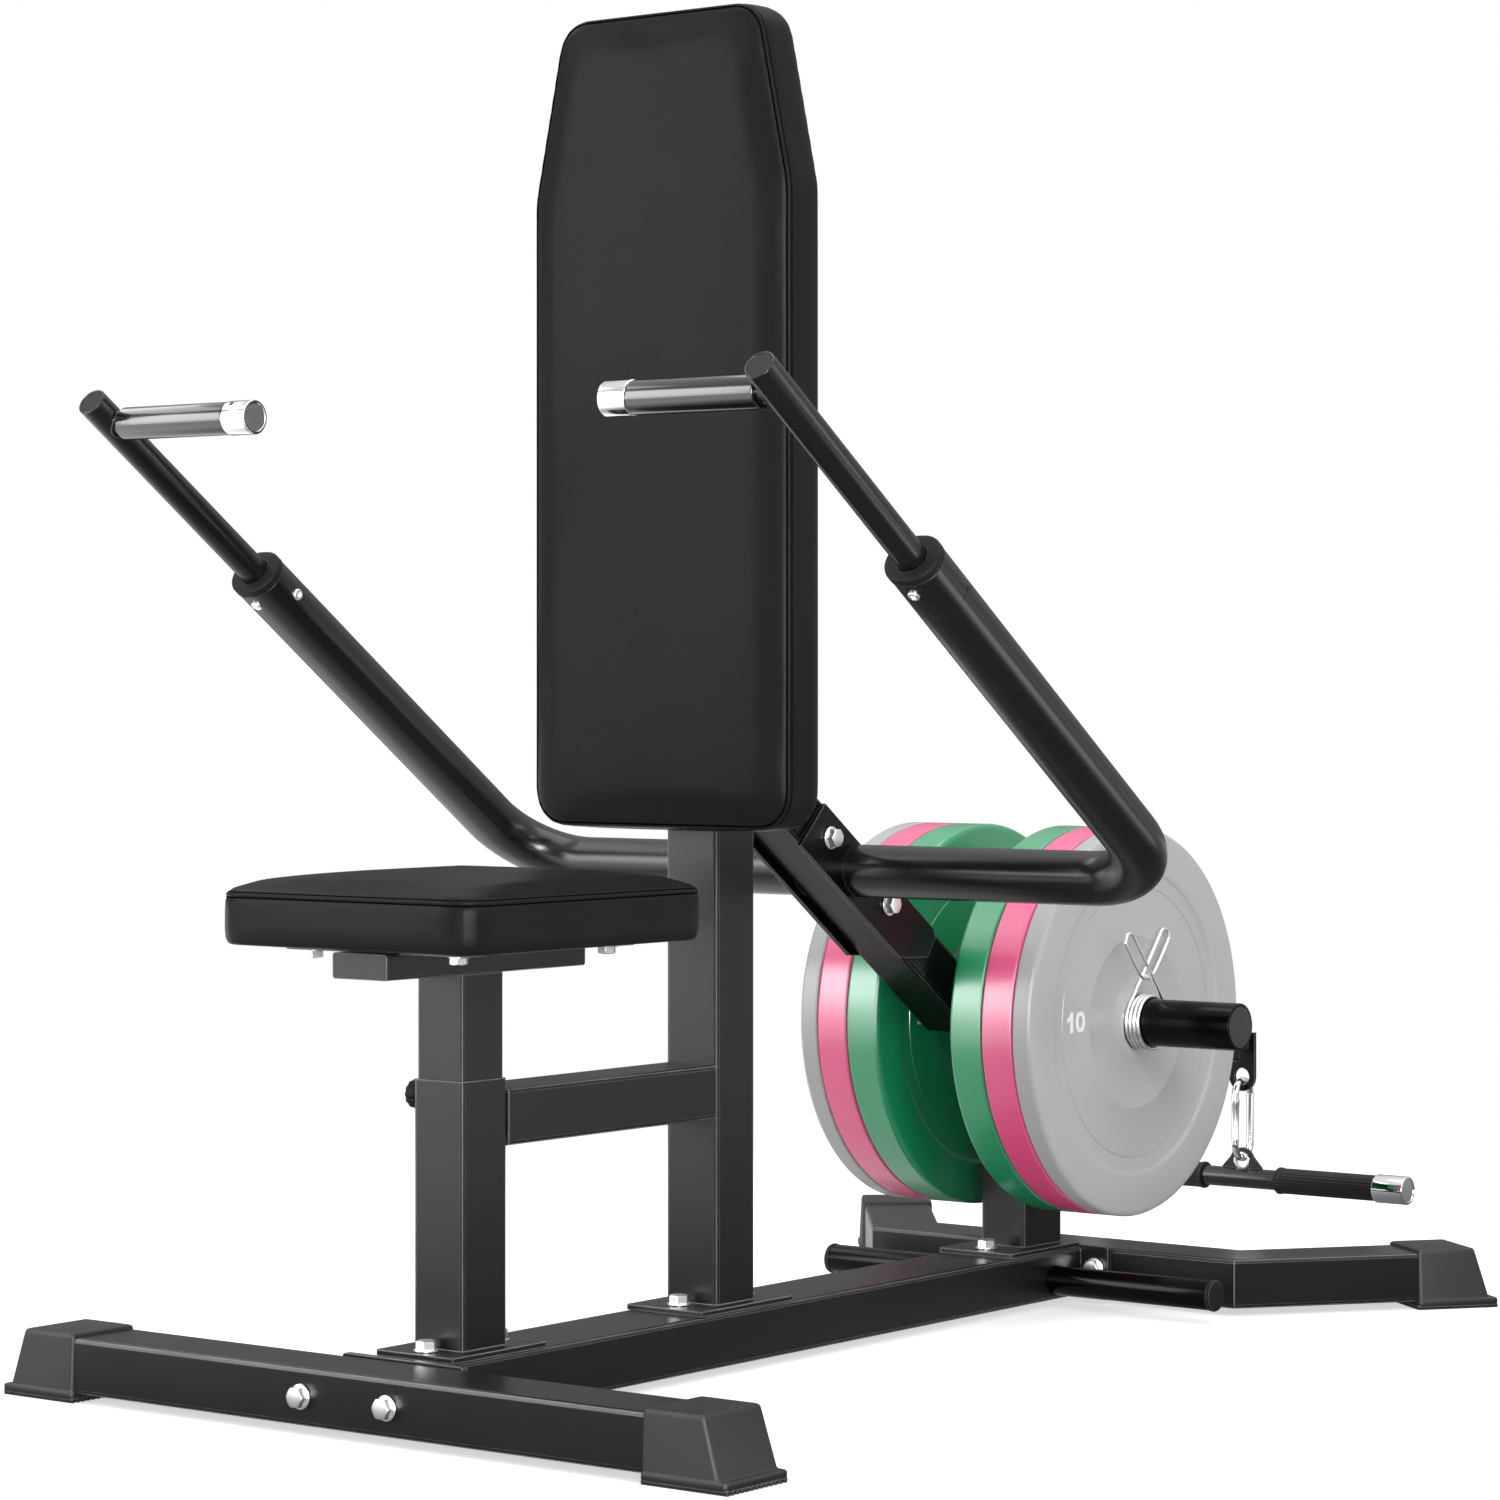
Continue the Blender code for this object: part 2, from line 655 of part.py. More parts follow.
def build_back_pad():
    corners = [
        (-BACK_HALF, BACK_Z0),
        (BACK_HALF, BACK_Z0),
        (BACK_HALF, BACK_TAPER_Z),
        (BACK_TOP_HALF, BACK_Z1),
        (-BACK_TOP_HALF, BACK_Z1),
        (-BACK_HALF, BACK_TAPER_Z),
    ]
    outline = corner_path(corners, [34.0, 34.0, 90.0, 34.0, 34.0, 90.0], 4)
    board = inset(outline, 12.0)
    add("back_board", along("y", board, BACK_Y1 - 10.0, BACK_Y1), "wood")
    profile = [
        (BACK_Y1 - 10.3, 11.5),
        (BACK_Y1, 11.5),
        (BACK_Y1, 4.0),
        (BACK_Y1 - 3.5, 1.2),
        (BACK_Y1 - 12.0, 0.0),
        (BACK_Y0 + 19.0, 0.2),
        (BACK_Y0 + 10.0, 1.6),
        (BACK_Y0 + 6.0, 4.5),
        (BACK_Y0 + 3.6, 14.0),
        (BACK_Y0 + 1.6, 33.0),
        (BACK_Y0, 84.0),
    ]
    rings = pad_rings(outline, lambda u, v, h: (u, h, v), profile)
    add("back_pad", loft(rings), "leather")


# Press lever


def build_bracket():
    y, z = PIVOT
    back = BACK_POST[2] + GAP
    outline = rect(33.4, 40.0, 3.0)
    bracket = add("pivot_bracket", along("y", outline, back, back + 5.0, (0.0, z)), "frame")
    ear = [(back + 1.0, z - 38.0)]
    ear += [
        (y + 22 * math.cos(math.radians(t)), z + 22 * math.sin(math.radians(t)))
        for t in range(-60, 61, 20)
    ]
    ear.append((back + 1.0, z + 38.0))
    for side, word in ((-1, "left"), (1, "right")):
        weld(bracket, add(f"ear_{word}", along("x", ear, 28.2, 33.4), side=side))
    hole = turned("x", [(-40, 6.1), (40, 6.1)], PIVOT, 20)
    cut(add("pivot_hole", hole), bracket)
    pin = bolt("x", 33.4, PIVOT, 1, 79.0, 11.5, 8.5, 14.0, 6.0, nut=67.1)
    add("pivot_bolt", pin, "chrome")


def build_lever():
    origin = (0.0, *PIVOT)
    rise = tail_rise()
    bend = Vector(lever_bend())
    first = Vector((math.cos(PITCH), -math.sin(PITCH)))
    second = Vector((1.0, rise)).normalized()
    tail = Vector((TAIL_Y, HORN[1] + rise * (TAIL_Y - HORN[0])))
    start = Vector(lever_point(LEVER_FRONT))
    up1, up2 = Vector((-first.y, first.x)), Vector((-second.y, second.x))
    mitre = (up1 + up2).normalized()
    stations = [(start, up1), (bend, mitre / mitre.dot(up1)), (tail, up2)]

    def rings(outline):
        return [
            [(u, (p + up * v).x, (p + up * v).y) for u, v in outline] for p, up in stations
        ]

    outer = rect(LEVER_HALF, LEVER_DEPTH)
    shape = loft(rings(outer) + rings(inset(outer, LEVER_WALL))[::-1], closed=True)
    lever = add("lever_tube", shape, "frame", origin=origin)
    end = loft(
        [
            [
                (u, (tail + up2 * v + second * d).x, (tail + up2 * v + second * d).y)
                for u, v in rect(LEVER_HALF, LEVER_DEPTH)
            ]
            for d in (-2.0, 4.0)
        ]
    )
    weld(lever, add("lever_end", end))
    z = tail.y - 8.0
    weld(lever, add("tail_tongue", box(-8.0, 8.0, TAIL_Y, EYE_Y, z - 6.0, z + 10.0)))
    eye = [(-16.5, z + 11.5)]
    eye += [
        (16.5 * math.cos(math.radians(t)), EYE_HOLE_Z + 16.5 * math.sin(math.radians(t)))
        for t in range(180, 361, 20)
    ]
    eye.append((16.5, z + 11.5))
    weld(lever, add("tail_eye", along("y", eye, EYE_Y - EAR_HALF, EYE_Y + EAR_HALF)))
    hole = turned("y", [(EYE_Y - 9, EYE_HOLE_R), (EYE_Y + 9, EYE_HOLE_R)], (0.0, EYE_HOLE_Z), 24)
    cut(add("eye_hole", hole), lever)
    cut(add("lever_bore", turned("x", [(-40, 6.1), (40, 6.1)], PIVOT, 20)), lever)

    plate = [
        lever_point(SADDLE_S0 - 3, SADDLE_LOW),
        lever_point(SADDLE_S1 - 40, SADDLE_LOW),
        lever_point(SADDLE_S1, SADDLE_LOW + 26),
        lever_point(SADDLE_S1, SADDLE_HIGH - 6),
        lever_point(SADDLE_S1 - 8, SADDLE_HIGH),
        lever_point(SADDLE_S0 + 7, SADDLE_HIGH),
    ]
    saddles = []
    for side, word in ((-1, "left"), (1, "right")):
        saddles.append(
            add(
                f"saddle_plate_{word}",
                along("x", plate, LEVER_HALF + GAP, LEVER_HALF + GAP + 5.0),
                "frame",
                side,
                origin,
            )
        )
    slot = [arm_point(40.0, a, n) for a, n in oval(ARM_WIDE + GAP, ARM_THICK + GAP, 20)]
    slot = loft([slot, [(-x, y, z) for x, y, z in slot]])
    cut(add("arm_slot", slot), lever, *saddles)
    for s, word in zip(SADDLE_BOLTS, ("front", "rear")):
        at = lever_point(s)
        face = LEVER_HALF + GAP + 5.0
        hole = turned("x", [(-45, 5.3), (45, 5.3)], at, BOLT_SIDES)
        cut(add(f"saddle_hole_{word}", hole), lever, *saddles)
        shape = bolt("x", face, at, 1, 2 * face + 9.0, nut=2 * face + GAP)
        add(f"saddle_bolt_{word}", shape, "chrome", origin=origin)
    return origin


def oval(a, b, n):
    """A stadium: straight across, with half-round ends of radius b."""
    made = []
    for k in range(n):
        t = 2 * math.pi * (k + 0.5) / n
        c, s = math.cos(t), math.sin(t)
        made.append((b * c + (a - b) * (1 if c > 0 else -1), b * s))
    return made


def arm_rings(section):
    """Rings along the U: section u lies in its plane, across the tube, v is normal to the plane."""
    stations = [((ARM_X, ARM_LENGTH), (1.0, 0.0))]
    for k in range(6):
        t = math.pi / 2 * k / 5
        out = (math.cos(t), -math.sin(t))
        at = (ARM_X - ARM_BEND + ARM_BEND * out[0], ARM_BEND + ARM_BEND * out[1])
        stations.append((at, out))
    stations += [((-x, a), (-u, v)) for (x, a), (u, v) in reversed(stations)]
    return [
        [arm_point(x + ox * u, a + oa * u, v) for u, v in section]
        for (x, a), (ox, oa) in stations
    ]


def build_arms(origin):
    outer = oval(ARM_WIDE, ARM_THICK, 20)
    inner = oval(ARM_WIDE - ARM_WALL, ARM_THICK - ARM_WALL, 20)
    shape = loft(arm_rings(outer) + arm_rings(inner)[::-1], closed=True)
    add("arm_tube", shape, "frame", origin=origin)
    bore = circle(ROD_R + GAP, 20, math.pi / 20)
    for side, word in ((-1, "left"), (1, "right")):
        layers = [
            (oval(ARM_WIDE - ARM_WALL - GAP, ARM_THICK - ARM_WALL - GAP, 20), ARM_LENGTH - 25.0),
            (oval(ARM_WIDE - ARM_WALL - GAP, ARM_THICK - ARM_WALL - GAP, 20), ARM_LENGTH + GAP),
            (oval(ARM_WIDE + 1.2, ARM_THICK + 1.2, 20), ARM_LENGTH + GAP),
            (oval(ARM_WIDE + 1.2, ARM_THICK + 1.2, 20), ARM_LENGTH + 6.0),
            (oval(ARM_WIDE - 2.0, ARM_THICK - 2.0, 20), ARM_LENGTH + 9.0),
            (bore, ARM_LENGTH + 9.0),
            (bore, ARM_LENGTH - 25.0),
        ]
        rings = [[arm_point(ARM_X + u, a, v) for u, v in ring] for ring, a in layers]
        add(f"arm_cap_{word}", loft(rings, closed=True), "rubber", side, origin)

        grip_origin = arm_point(ARM_X, BAR_AT)
        rod = [(ROD_START, ROD_R), (ROD_TIP - 2.0, ROD_R), (ROD_TIP, ROD_R - 2.0)]
        rings = [[arm_point(ARM_X + u, a, v) for u, v in circle(r, 20)] for a, r in rod]
        handle = add(f"handle_rod_{word}", loft(rings), "frame", side, grip_origin)
        cy, cz = grip_origin[1:]
        stub = turned("x", [(COLLAR_END + 8.0, 11.0), (ARM_X, 11.0)], (cy, cz), 20)
        weld(handle, add(f"handle_bar_{word}", stub, side=side))
        grip = [
            (GRIP_IN, 11.3), (GRIP_IN, 14.2), (GRIP_IN + 1.0, GRIP_R), (GRIP_OUT - 1.0, GRIP_R),
            (GRIP_OUT, 14.2), (GRIP_OUT, 11.3),
        ]
        add(f"grip_{word}", turned("x", grip, (cy, cz), 20, True), "gloss", side, grip_origin)
        end = [
            (COLLAR_END + 7.0, 11.3), (GRIP_IN - GAP, 11.3), (GRIP_IN - GAP, 15.6),
            (COLLAR_END + 1.5, 15.6), (COLLAR_END, 14.2),
        ]
        add(f"grip_collar_{word}", turned("x", end, (cy, cz), 20), "chrome", side, grip_origin)


def build_weights(origin):
    for side, word in ((-1, "left"), (1, "right")):
        face = LEVER_HALF + GAP
        horn = [
            (HORN_END - 5.0, HORN_R - 3.0),
            (face, HORN_R - 3.0),
            (face, 34.0),
            (face + 6.0, 40.0),
            (PLATES[0][1] - GAP, 40.0),
            (PLATES[0][1] - GAP, HORN_R),
            (HORN_END - 1.5, HORN_R),
            (HORN_END, HORN_R - 1.5),
        ]
        add(f"horn_{word}", turned("x", horn, HORN, 20), "frame", side, origin)
        for colour, x0, x1 in PLATES:
            faced = [(0.0, HORN_R + GAP), (0.0, 38.0), (2.5, 42.0), (2.5, 147.0), (0.0, 151.0)]
            faced += [(0.0, PLATE_R - 3.0), (3.0, PLATE_R)]
            plain = [faced[0]] + faced[-2:]
            inner = faced if colour == "green" else plain
            outer = faced if colour == "gray" else plain
            profile = [(x0 + a, r) for a, r in inner] + [(x1 - a, r) for a, r in reversed(outer)]
            plate = turned("x", profile, HORN, 36, True)
            add(f"{colour}_plate_{word}", plate, colour, side, (x0, *HORN))
        add(
            f"spring_collar_{word}",
            sweep(coil_path(), WIRE_R, 5),
            "chrome",
            side,
            (PLATES[-1][2], *HORN),
        )


def coil_path():
    """A coil round the horn, both ends running up to a loop and crossing above it."""
    x0 = PLATES[-1][2] + GAP + WIRE_R
    lean = math.radians(40.0)

    def at(x, p):
        return Vector((x, HORN[0] + p[0], HORN[1] + p[1]))

    def handle(x, way):
        """From the coil to the free end; way is +1 for the end that leans back, -1 forwards."""
        go = Vector((way * math.sin(lean), math.cos(lean)))
        out = Vector((way * math.cos(lean), -math.sin(lean)))
        begin = Vector((-way * COIL_R * math.cos(lean), COIL_R * math.sin(lean)))
        tip = begin + go * 102.0
        points = [begin + go * d for d in (10.0, 50.0, 88.0)]
        points += [
            tip - go * 8.0 + out * (8.0 - 8.0 * math.cos(t)) + go * 8.0 * math.sin(t)
            for t in (0.0, math.pi / 4, math.pi / 2, 3 * math.pi / 4, math.pi)
        ]
        low = tip + out * 16.0 - go * 48.0
        points += [low + go * 8.0, low - out * 2.0 - go * 4.0, low - out * 11.0 - go * 12.0]
        return [at(x, p) for p in points]

    start, end = math.pi - lean, 2 * math.pi * (COIL_TURNS + 1) + lean
    coil = []
    count = int(14 * (end - start) / (2 * math.pi))
    for k in range(count + 1):
        t = start + (end - start) * k / count
        x = x0 + COIL_PITCH * (t - start) / (2 * math.pi)
        coil.append(at(x, (COIL_R * math.cos(t), COIL_R * math.sin(t))))
    return list(reversed(handle(coil[0].x, 1))) + coil + handle(coil[-1].x, -1)


# Tail


def build_tail():
    link = []
    low = LINK_TOP - LINK_LONG
    for k in range(9):
        t = math.pi * k / 8
        top = (LINK_HALF * math.cos(t), LINK_TOP - LINK_HALF + LINK_HALF * math.sin(t))
        link.append((0.0, EYE_Y + top[0], top[1]))
    for k in range(9):
        t = math.pi + math.pi * k / 8
        end = (LINK_HALF * math.cos(t), low + LINK_HALF + LINK_HALF * math.sin(t))
        link.append((0.0, EYE_Y + end[0], end[1]))
    add("carabiner", sweep(link, LINK_R, 8, True), "chrome", origin=(0.0, EYE_Y, LINK_TOP))

    hole_z = low + LINK_R + LINK_LIFT - EAR_HOLE_R
    origin = (0.0, EYE_Y, low)
    bar = add(
        "attachment_bar",
        pipe("x", circle(BAR_R, 20), 2.0, -190.0, 190.0, (EYE_Y, BAR_Z)),
        "frame",
        origin=origin,
    )
    ear = [(-27.0, BAR_Z + 10.0), (27.0, BAR_Z + 10.0)]
    ear += [
        (15 * math.cos(math.radians(t)), hole_z + 15 * math.sin(math.radians(t)))
        for t in range(20, 161, 20)
    ]
    weld(bar, add("bar_ear", along("y", ear, EYE_Y - EAR_HALF, EYE_Y + EAR_HALF)))
    hole = turned("y", [(EYE_Y - 9, EAR_HOLE_R), (EYE_Y + 9, EAR_HOLE_R)], (0.0, hole_z), 20)
    cut(add("bar_ear_hole", hole), bar)
    for side, word in ((-1, "left"), (1, "right")):
        grip = [
            (47.0, BAR_R + GAP), (47.0, 13.0), (48.0, 14.0), (168.7, 14.0), (169.7, 13.0),
            (169.7, BAR_R + GAP),
        ]
        shape = turned("x", grip, (EYE_Y, BAR_Z), 20, True)
        add(f"bar_grip_{word}", shape, "gloss", side, origin)
        end = [
            (191.0, BAR_R + GAP), (170.0, BAR_R + GAP), (170.0, 15.5), (206.5, 15.5), (208.0, 14.0)
        ]
        add(f"bar_end_{word}", turned("x", end, (EYE_Y, BAR_Z), 20), "chrome", side, origin)


def build():
    rail = build_base()
    build_posts(rail)
    build_seat()
    build_back_pad()
    build_bracket()
    origin = build_lever()
    build_arms(origin)
    build_weights(origin)
    build_tail()


build()
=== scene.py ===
"""The looks of a seated dip machine: paint, sewn pads, grips, weight plates, springs and fasteners.

Shapes are written in millimetres in the machine's own coordinates, +X to the right, the front facing -Y,
y = 0 at the front face of the crossbar and the floor at z = 0. to_row() turns them into the row frame.
"""

import math

import bmesh
import bpy
from bpy.props import FloatProperty, FloatVectorProperty, IntProperty, PointerProperty
from mathutils import Matrix, Vector
from mathutils.bvhtree import BVHTree


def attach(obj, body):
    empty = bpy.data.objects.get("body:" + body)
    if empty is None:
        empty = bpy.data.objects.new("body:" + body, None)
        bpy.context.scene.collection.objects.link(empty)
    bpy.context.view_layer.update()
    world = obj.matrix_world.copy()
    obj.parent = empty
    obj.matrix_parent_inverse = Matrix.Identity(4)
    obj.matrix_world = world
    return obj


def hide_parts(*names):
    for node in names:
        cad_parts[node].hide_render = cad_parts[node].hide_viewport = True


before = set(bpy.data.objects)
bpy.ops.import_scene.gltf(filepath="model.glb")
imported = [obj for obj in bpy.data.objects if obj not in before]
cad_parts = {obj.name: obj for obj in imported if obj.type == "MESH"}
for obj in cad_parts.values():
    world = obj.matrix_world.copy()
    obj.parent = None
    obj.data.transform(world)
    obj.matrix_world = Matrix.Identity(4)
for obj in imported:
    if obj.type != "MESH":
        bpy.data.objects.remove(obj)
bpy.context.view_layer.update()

bl_info = {
    "name": "Seated Dip Machine",
    "version": (1, 0, 0),
    "blender": (4, 5, 0),
    "location": "View3D > Sidebar > Dip Machine",
    "description": "Dresses a seated dip machine: paint, sewn pads, grips, weight plates and fasteners",
    "category": "Object",
}

SIDES = ((-1, "left"), (1, "right"))

# Places and sizes that the solids have, in millimetres. A pair of numbers for a place is (y, z).
# The row frame's y = 0, and the lever's slope and pivot
Y_MID = 742.15
PITCH = math.radians(35.2)
PIVOT = (580.0, 543.0)
# Weight horns: middle line, radius, end and bore, then their stop ring's radius and two sides
HORN = (1031.8, 297.8)
HORN_R, HORN_END, HORN_BORE = 23.8, 261.6, 20.8
STOP_R, STOP_IN, STOP_OUT = 40.0, 27.8, 43.0
# Storage pegs: middle line, both ends, radius and bore
PEG = (1024.8, 28.6)
PEG_START, PEG_END, PEG_R, PEG_BORE = 45.0, 233.6, 15.0, 12.8
# Pull knob: middle line, and the x that its lengths start from
KNOB, KNOB_X = (150.0, 280.0), -28.3
# Feet: half the depth of the crossbar and of the stabiliser, where a front foot starts, then the
# stabiliser's middle line and the bend, length and turn of its legs
TUBE_HALF, FOOT_X = 36.7, 323.0
STABILISER_Y, LEG_BEND_X, LEG_LONG, LEG_TURN = 1116.7, 225.0, 181.0, math.radians(52.0)
# Arms: half their spread, the bend's radius, their length, their place down the lever, then the tube's
# half width, half thickness and wall, the cap's bore and the points round a section
ARM_X, ARM_BEND, ARM_LENGTH, ARM_S = 382.0, 80.0, 490.0, 145.4
ARM_WIDE, ARM_THICK, ARM_WALL, CAP_BORE, ARM_POINTS = 27.0, 24.0, 2.6, 14.3, 56
# Handles: the rod's radius, its two ends and its cross bar along the arm, and the points round it
ROD_R, ROD_START, ROD_TIP, BAR_AT, ROD_POINTS = 14.0, 392.0, 761.0, 727.0, 56
# The grip's two ends and the collar's end across the arm, and their radii
GRIP_OUT, GRIP_IN, COLLAR_END, GRIP_R, COLLAR_R = 365.0, 232.0, 203.0, 15.0, 15.6
# Every cross bar's radius, and the bore of what sits on it
BAR_R, GRIP_BORE = 11.0, 11.3
# Plates: radius of the rim and of the bore, the depth of the sunk face, and each one's two sides
PLATE_R, BORE_R, PLATE_SINK = 197.0, 24.1, 2.5
PLATES = (("green", 43.3, 81.8), ("pink", 82.1, 118.3), ("gray", 118.6, 141.1))
# Spring collars: the coil's radius, pitch and turns, and the wire's radius
COIL_R, COIL_PITCH, COIL_TURNS, WIRE_R = 26.6, 4.6, 3, 1.9
# Their handles' length and lean, the radius of the loop at the tip, and how far the wire runs back
HANDLE_LONG, HANDLE_LEAN, LOOP_R, LOOP_BACK = 102.0, math.radians(40.0), 8.0, 48.0
# Tail: the eye, and the carabiner's top, length, bend and wire radius
EYE_Y, LINK_TOP, LINK_LONG, LINK_BEND, LINK_WIRE = 1474.0, 198.1, 86.0, 16.0, 4.0
# The bar's height, the radii of its lug and of the lug's hole, and the carabiner's gap in the hole
BAR_Z, LUG_R, LUG_HOLE, LUG_GAP = 90.0, 15.0, 8.0, 0.7
# Pads: the seat's top edge and the back pad's front face, then where each is held by its board
SEAT_EDGE, BACK_Y0, SEAT_HELD, BACK_HELD = 463.0, 422.0, 420.5, 470.0
# Corners of the seams, the seat's as (x, y) and the back pad's as (x, z), and their radii
SEAT_SEAM = ((-149.3, -7.0), (149.3, -7.0), (149.3, 316.5), (-149.3, 316.5))
BACK_SEAM = (
    (-149.5, 507.5), (149.5, 507.5), (149.5, 1094.8), (114.6, 1260.5), (-114.6, 1260.5), (-149.5, 1094.8),
)
SEAM_CORNER, SHOULDER_CORNER = 33.0, 89.0


# Settings that a user would change


class PaintSettings(bpy.types.PropertyGroup):
    """Colours of the painted and moulded surfaces."""

    frame_colour: FloatVectorProperty(
        name="Frame",
        description="Powder coat on the tubes",
        subtype="COLOR",
        default=(0.009, 0.009, 0.0095),
    )
    leather_colour: FloatVectorProperty(
        name="Leather",
        description="Faux leather of both pads",
        subtype="COLOR",
        default=(0.021, 0.021, 0.0215),
    )
    rubber_colour: FloatVectorProperty(
        name="Rubber",
        description="Feet and the rest bumper",
        subtype="COLOR",
        default=(0.014, 0.014, 0.0145),
    )
    green_colour: FloatVectorProperty(
        name="Green plate", description="Inner plates", subtype="COLOR", default=(0.006, 0.36, 0.138)
    )
    pink_colour: FloatVectorProperty(
        name="Pink plate", description="Middle plates", subtype="COLOR", default=(0.98, 0.092, 0.29)
    )
    gray_colour: FloatVectorProperty(
        name="Gray plate", description="Outer plates", subtype="COLOR", default=(0.50, 0.50, 0.50)
    )


class PadSettings(bpy.types.PropertyGroup):
    """How full the pads are and how their seam looks."""

    swell: FloatProperty(
        name="Swell", description="How far the foam may push the cover out, in millimetres", default=4.5
    )
    pressure: FloatProperty(name="Pressure", description="Pressure inside the cover", default=4.0)
    frames: IntProperty(name="Steps", description="Frames that the cover is left to settle for", default=20)
    welt: FloatProperty(
        name="Welt radius", description="Radius of the welt along the seam, in millimetres", default=2.1
    )


class PlateSettings(bpy.types.PropertyGroup):
    """The numbers on the plates."""

    digit_height: FloatProperty(
        name="Digit height", description="Height of the numbers, in millimetres", default=20.5
    )
    digit_radius: FloatProperty(
        name="Digit radius",
        description="Distance of the numbers from the hub, in millimetres",
        default=111.0,
    )


class StageSettings(bpy.types.PropertyGroup):
    """Camera, lamps and the panels that glossy surfaces mirror."""

    lens: FloatProperty(name="Lens", description="Focal length", unit="CAMERA", default=104.48)
    key: FloatProperty(
        name="Key light", description="Large soft lamp at the front left", unit="POWER", default=70.0
    )
    top: FloatProperty(name="Top light", description="Soft lamp above", unit="POWER", default=54.0)
    side: FloatProperty(
        name="Side light", description="Narrow lamp at the right", unit="POWER", default=14.0
    )
    fill: FloatProperty(
        name="Fill light", description="Soft lamp at the front right", unit="POWER", default=48.0
    )
    strip: FloatProperty(
        name="Strip light", description="Long narrow lamp at the upper left", unit="POWER", default=22.0
    )
    window: FloatProperty(
        name="Window gleam", description="Mirrored panel at the front left", unit="POWER", default=60.0
    )
    front: FloatProperty(
        name="Front gleam", description="Mirrored panel at the front right", unit="POWER", default=400.0
    )
    upper: FloatProperty(
        name="Upper gleam", description="Mirrored panel at the upper left", unit="POWER", default=18.0
    )
    room: FloatProperty(name="Room light", description="Even light from all sides", default=0.42)


# Shapes


def to_row(point):
    """A point in the machine's millimetres, in the row frame's metres."""
    return Vector((point[0], point[1] - Y_MID, point[2])) * 0.001


def lever_point(s, n=0.0):
    """(y, z) at distance s down the lever from the pivot and n above its middle line."""
    return (
        PIVOT[0] + s * math.cos(PITCH) + n * math.sin(PITCH),
        PIVOT[1] - s * math.sin(PITCH) + n * math.cos(PITCH),
    )


def arm_point(x, a, n=0.0):
    """A point in the arms' own plane: a is the distance forwards from their cross part."""
    return (x, *lever_point(ARM_S - a, n))


def circle(r, n, shift=0.0):
    """n points on a circle, as (u, v), the first one turned by a share of a step."""
    return [
        (r * math.cos(2 * math.pi * (k + shift) / n), r * math.sin(2 * math.pi * (k + shift) / n))
        for k in range(n)
    ]


def loft(rings, closed=False):
    """Faces between rings of equally many points, with a lid on each end unless it is closed."""
    n = len(rings[0])
    points = [tuple(p) for ring in rings for p in ring]
    faces = []
    last = len(rings) if closed else len(rings) - 1
    for i in range(last):
        a, b = i * n, (i + 1) % len(rings) * n
        faces += [(a + k, a + (k + 1) % n, b + (k + 1) % n, b + k) for k in range(n)]
    if not closed:
        faces.append(tuple(range(n))[::-1])
        faces.append(tuple(range(len(points) - n, len(points))))
    return points, faces


def join(*shapes):
    """Several shapes as one."""
    points, faces = [], []
    for p, f in shapes:
        faces += [tuple(i + len(points) for i in face) for face in f]
        points += p
    return points, faces


def mirrored(shape, side):
    """The shape on the right where side is 1, and its mirror image on the left where it is -1."""
    return [(side * x, y, z) for x, y, z in shape[0]], shape[1]


def along(axis, a, centre, u, v):
    """A point at distance a along an axis and (u, v) off a line through the centre."""
    if axis == "x":
        return (a, centre[0] + u, centre[1] + v)
    if axis == "y":
        return (centre[0] + u, a, centre[1] + v)
    return (centre[0] + u, centre[1] + v, a)


def turned(axis, profile, centre, n=64, closed=False, flutes=0, depth=0.0):
    """A body of revolution from (distance along the axis, radius) pairs, fluted where depth is given."""
    rings = []
    for a, r in profile:
        ring = []
        for k in range(n):
            t = 2 * math.pi * k / n
            cut = r - depth * (0.5 - 0.5 * math.cos(flutes * t))
            ring.append(along(axis, a, centre, cut * math.cos(t), cut * math.sin(t)))
        rings.append(ring)
    return loft(rings, closed)


def rounded(profile, at, r, steps=4):
    """The (a, r) profile with the corners numbered in `at` rounded to radius r."""
    made = []
    for i, here in enumerate(profile):
        if i not in at:
            made.append(here)
            continue
        p, q, s = Vector(profile[i - 1]), Vector(here), Vector(profile[(i + 1) % len(profile)])
        a, b = (p - q).normalized(), (s - q).normalized()
        reach = min(r, (p - q).length / 2, (s - q).length / 2)
        for k in range(steps + 1):
            t = k / steps
            made.append(tuple(q + a * reach * (1 - t) ** 2 + b * reach * t**2))
    return made


def rect(half_w, half_h, r, steps=4):
    """An upright rectangle with round corners, as (u, v) points."""
    made = []
    for cu, cv, start in ((1, 1, 0), (-1, 1, 90), (-1, -1, 180), (1, -1, 270)):
        for k in range(steps + 1):
            t = math.radians(start + 90 * k / steps)
            made.append(
                (cu * (half_w - r) + r * math.cos(t), cv * (half_h - r) + r * math.sin(t))
            )
    return made


def oval(a, b, n):
    """A stadium: straight across, with half-round ends of radius b."""
    return [(b * c + math.copysign(a - b, c), b * s) for c, s in circle(1.0, n, 0.5)]


def wire(path, r, n=14, closed=False):
    """A round wire along a path of points, carried along without twist."""
    path = [Vector(p) for p in path]
    count = len(path)
    rings, side = [], None
    for i, p in enumerate(path):
        if closed:
            t = path[(i + 1) % count] - path[i - 1]
        else:
            t = path[min(i + 1, count - 1)] - path[max(i - 1, 0)]
        t.normalize()
        side = t.orthogonal() if side is None else side - t * side.dot(t)
        side.normalize()
        up = t.cross(side)
        rings.append([p + side * u + up * v for u, v in circle(r, n)])
    return loft(rings, closed)


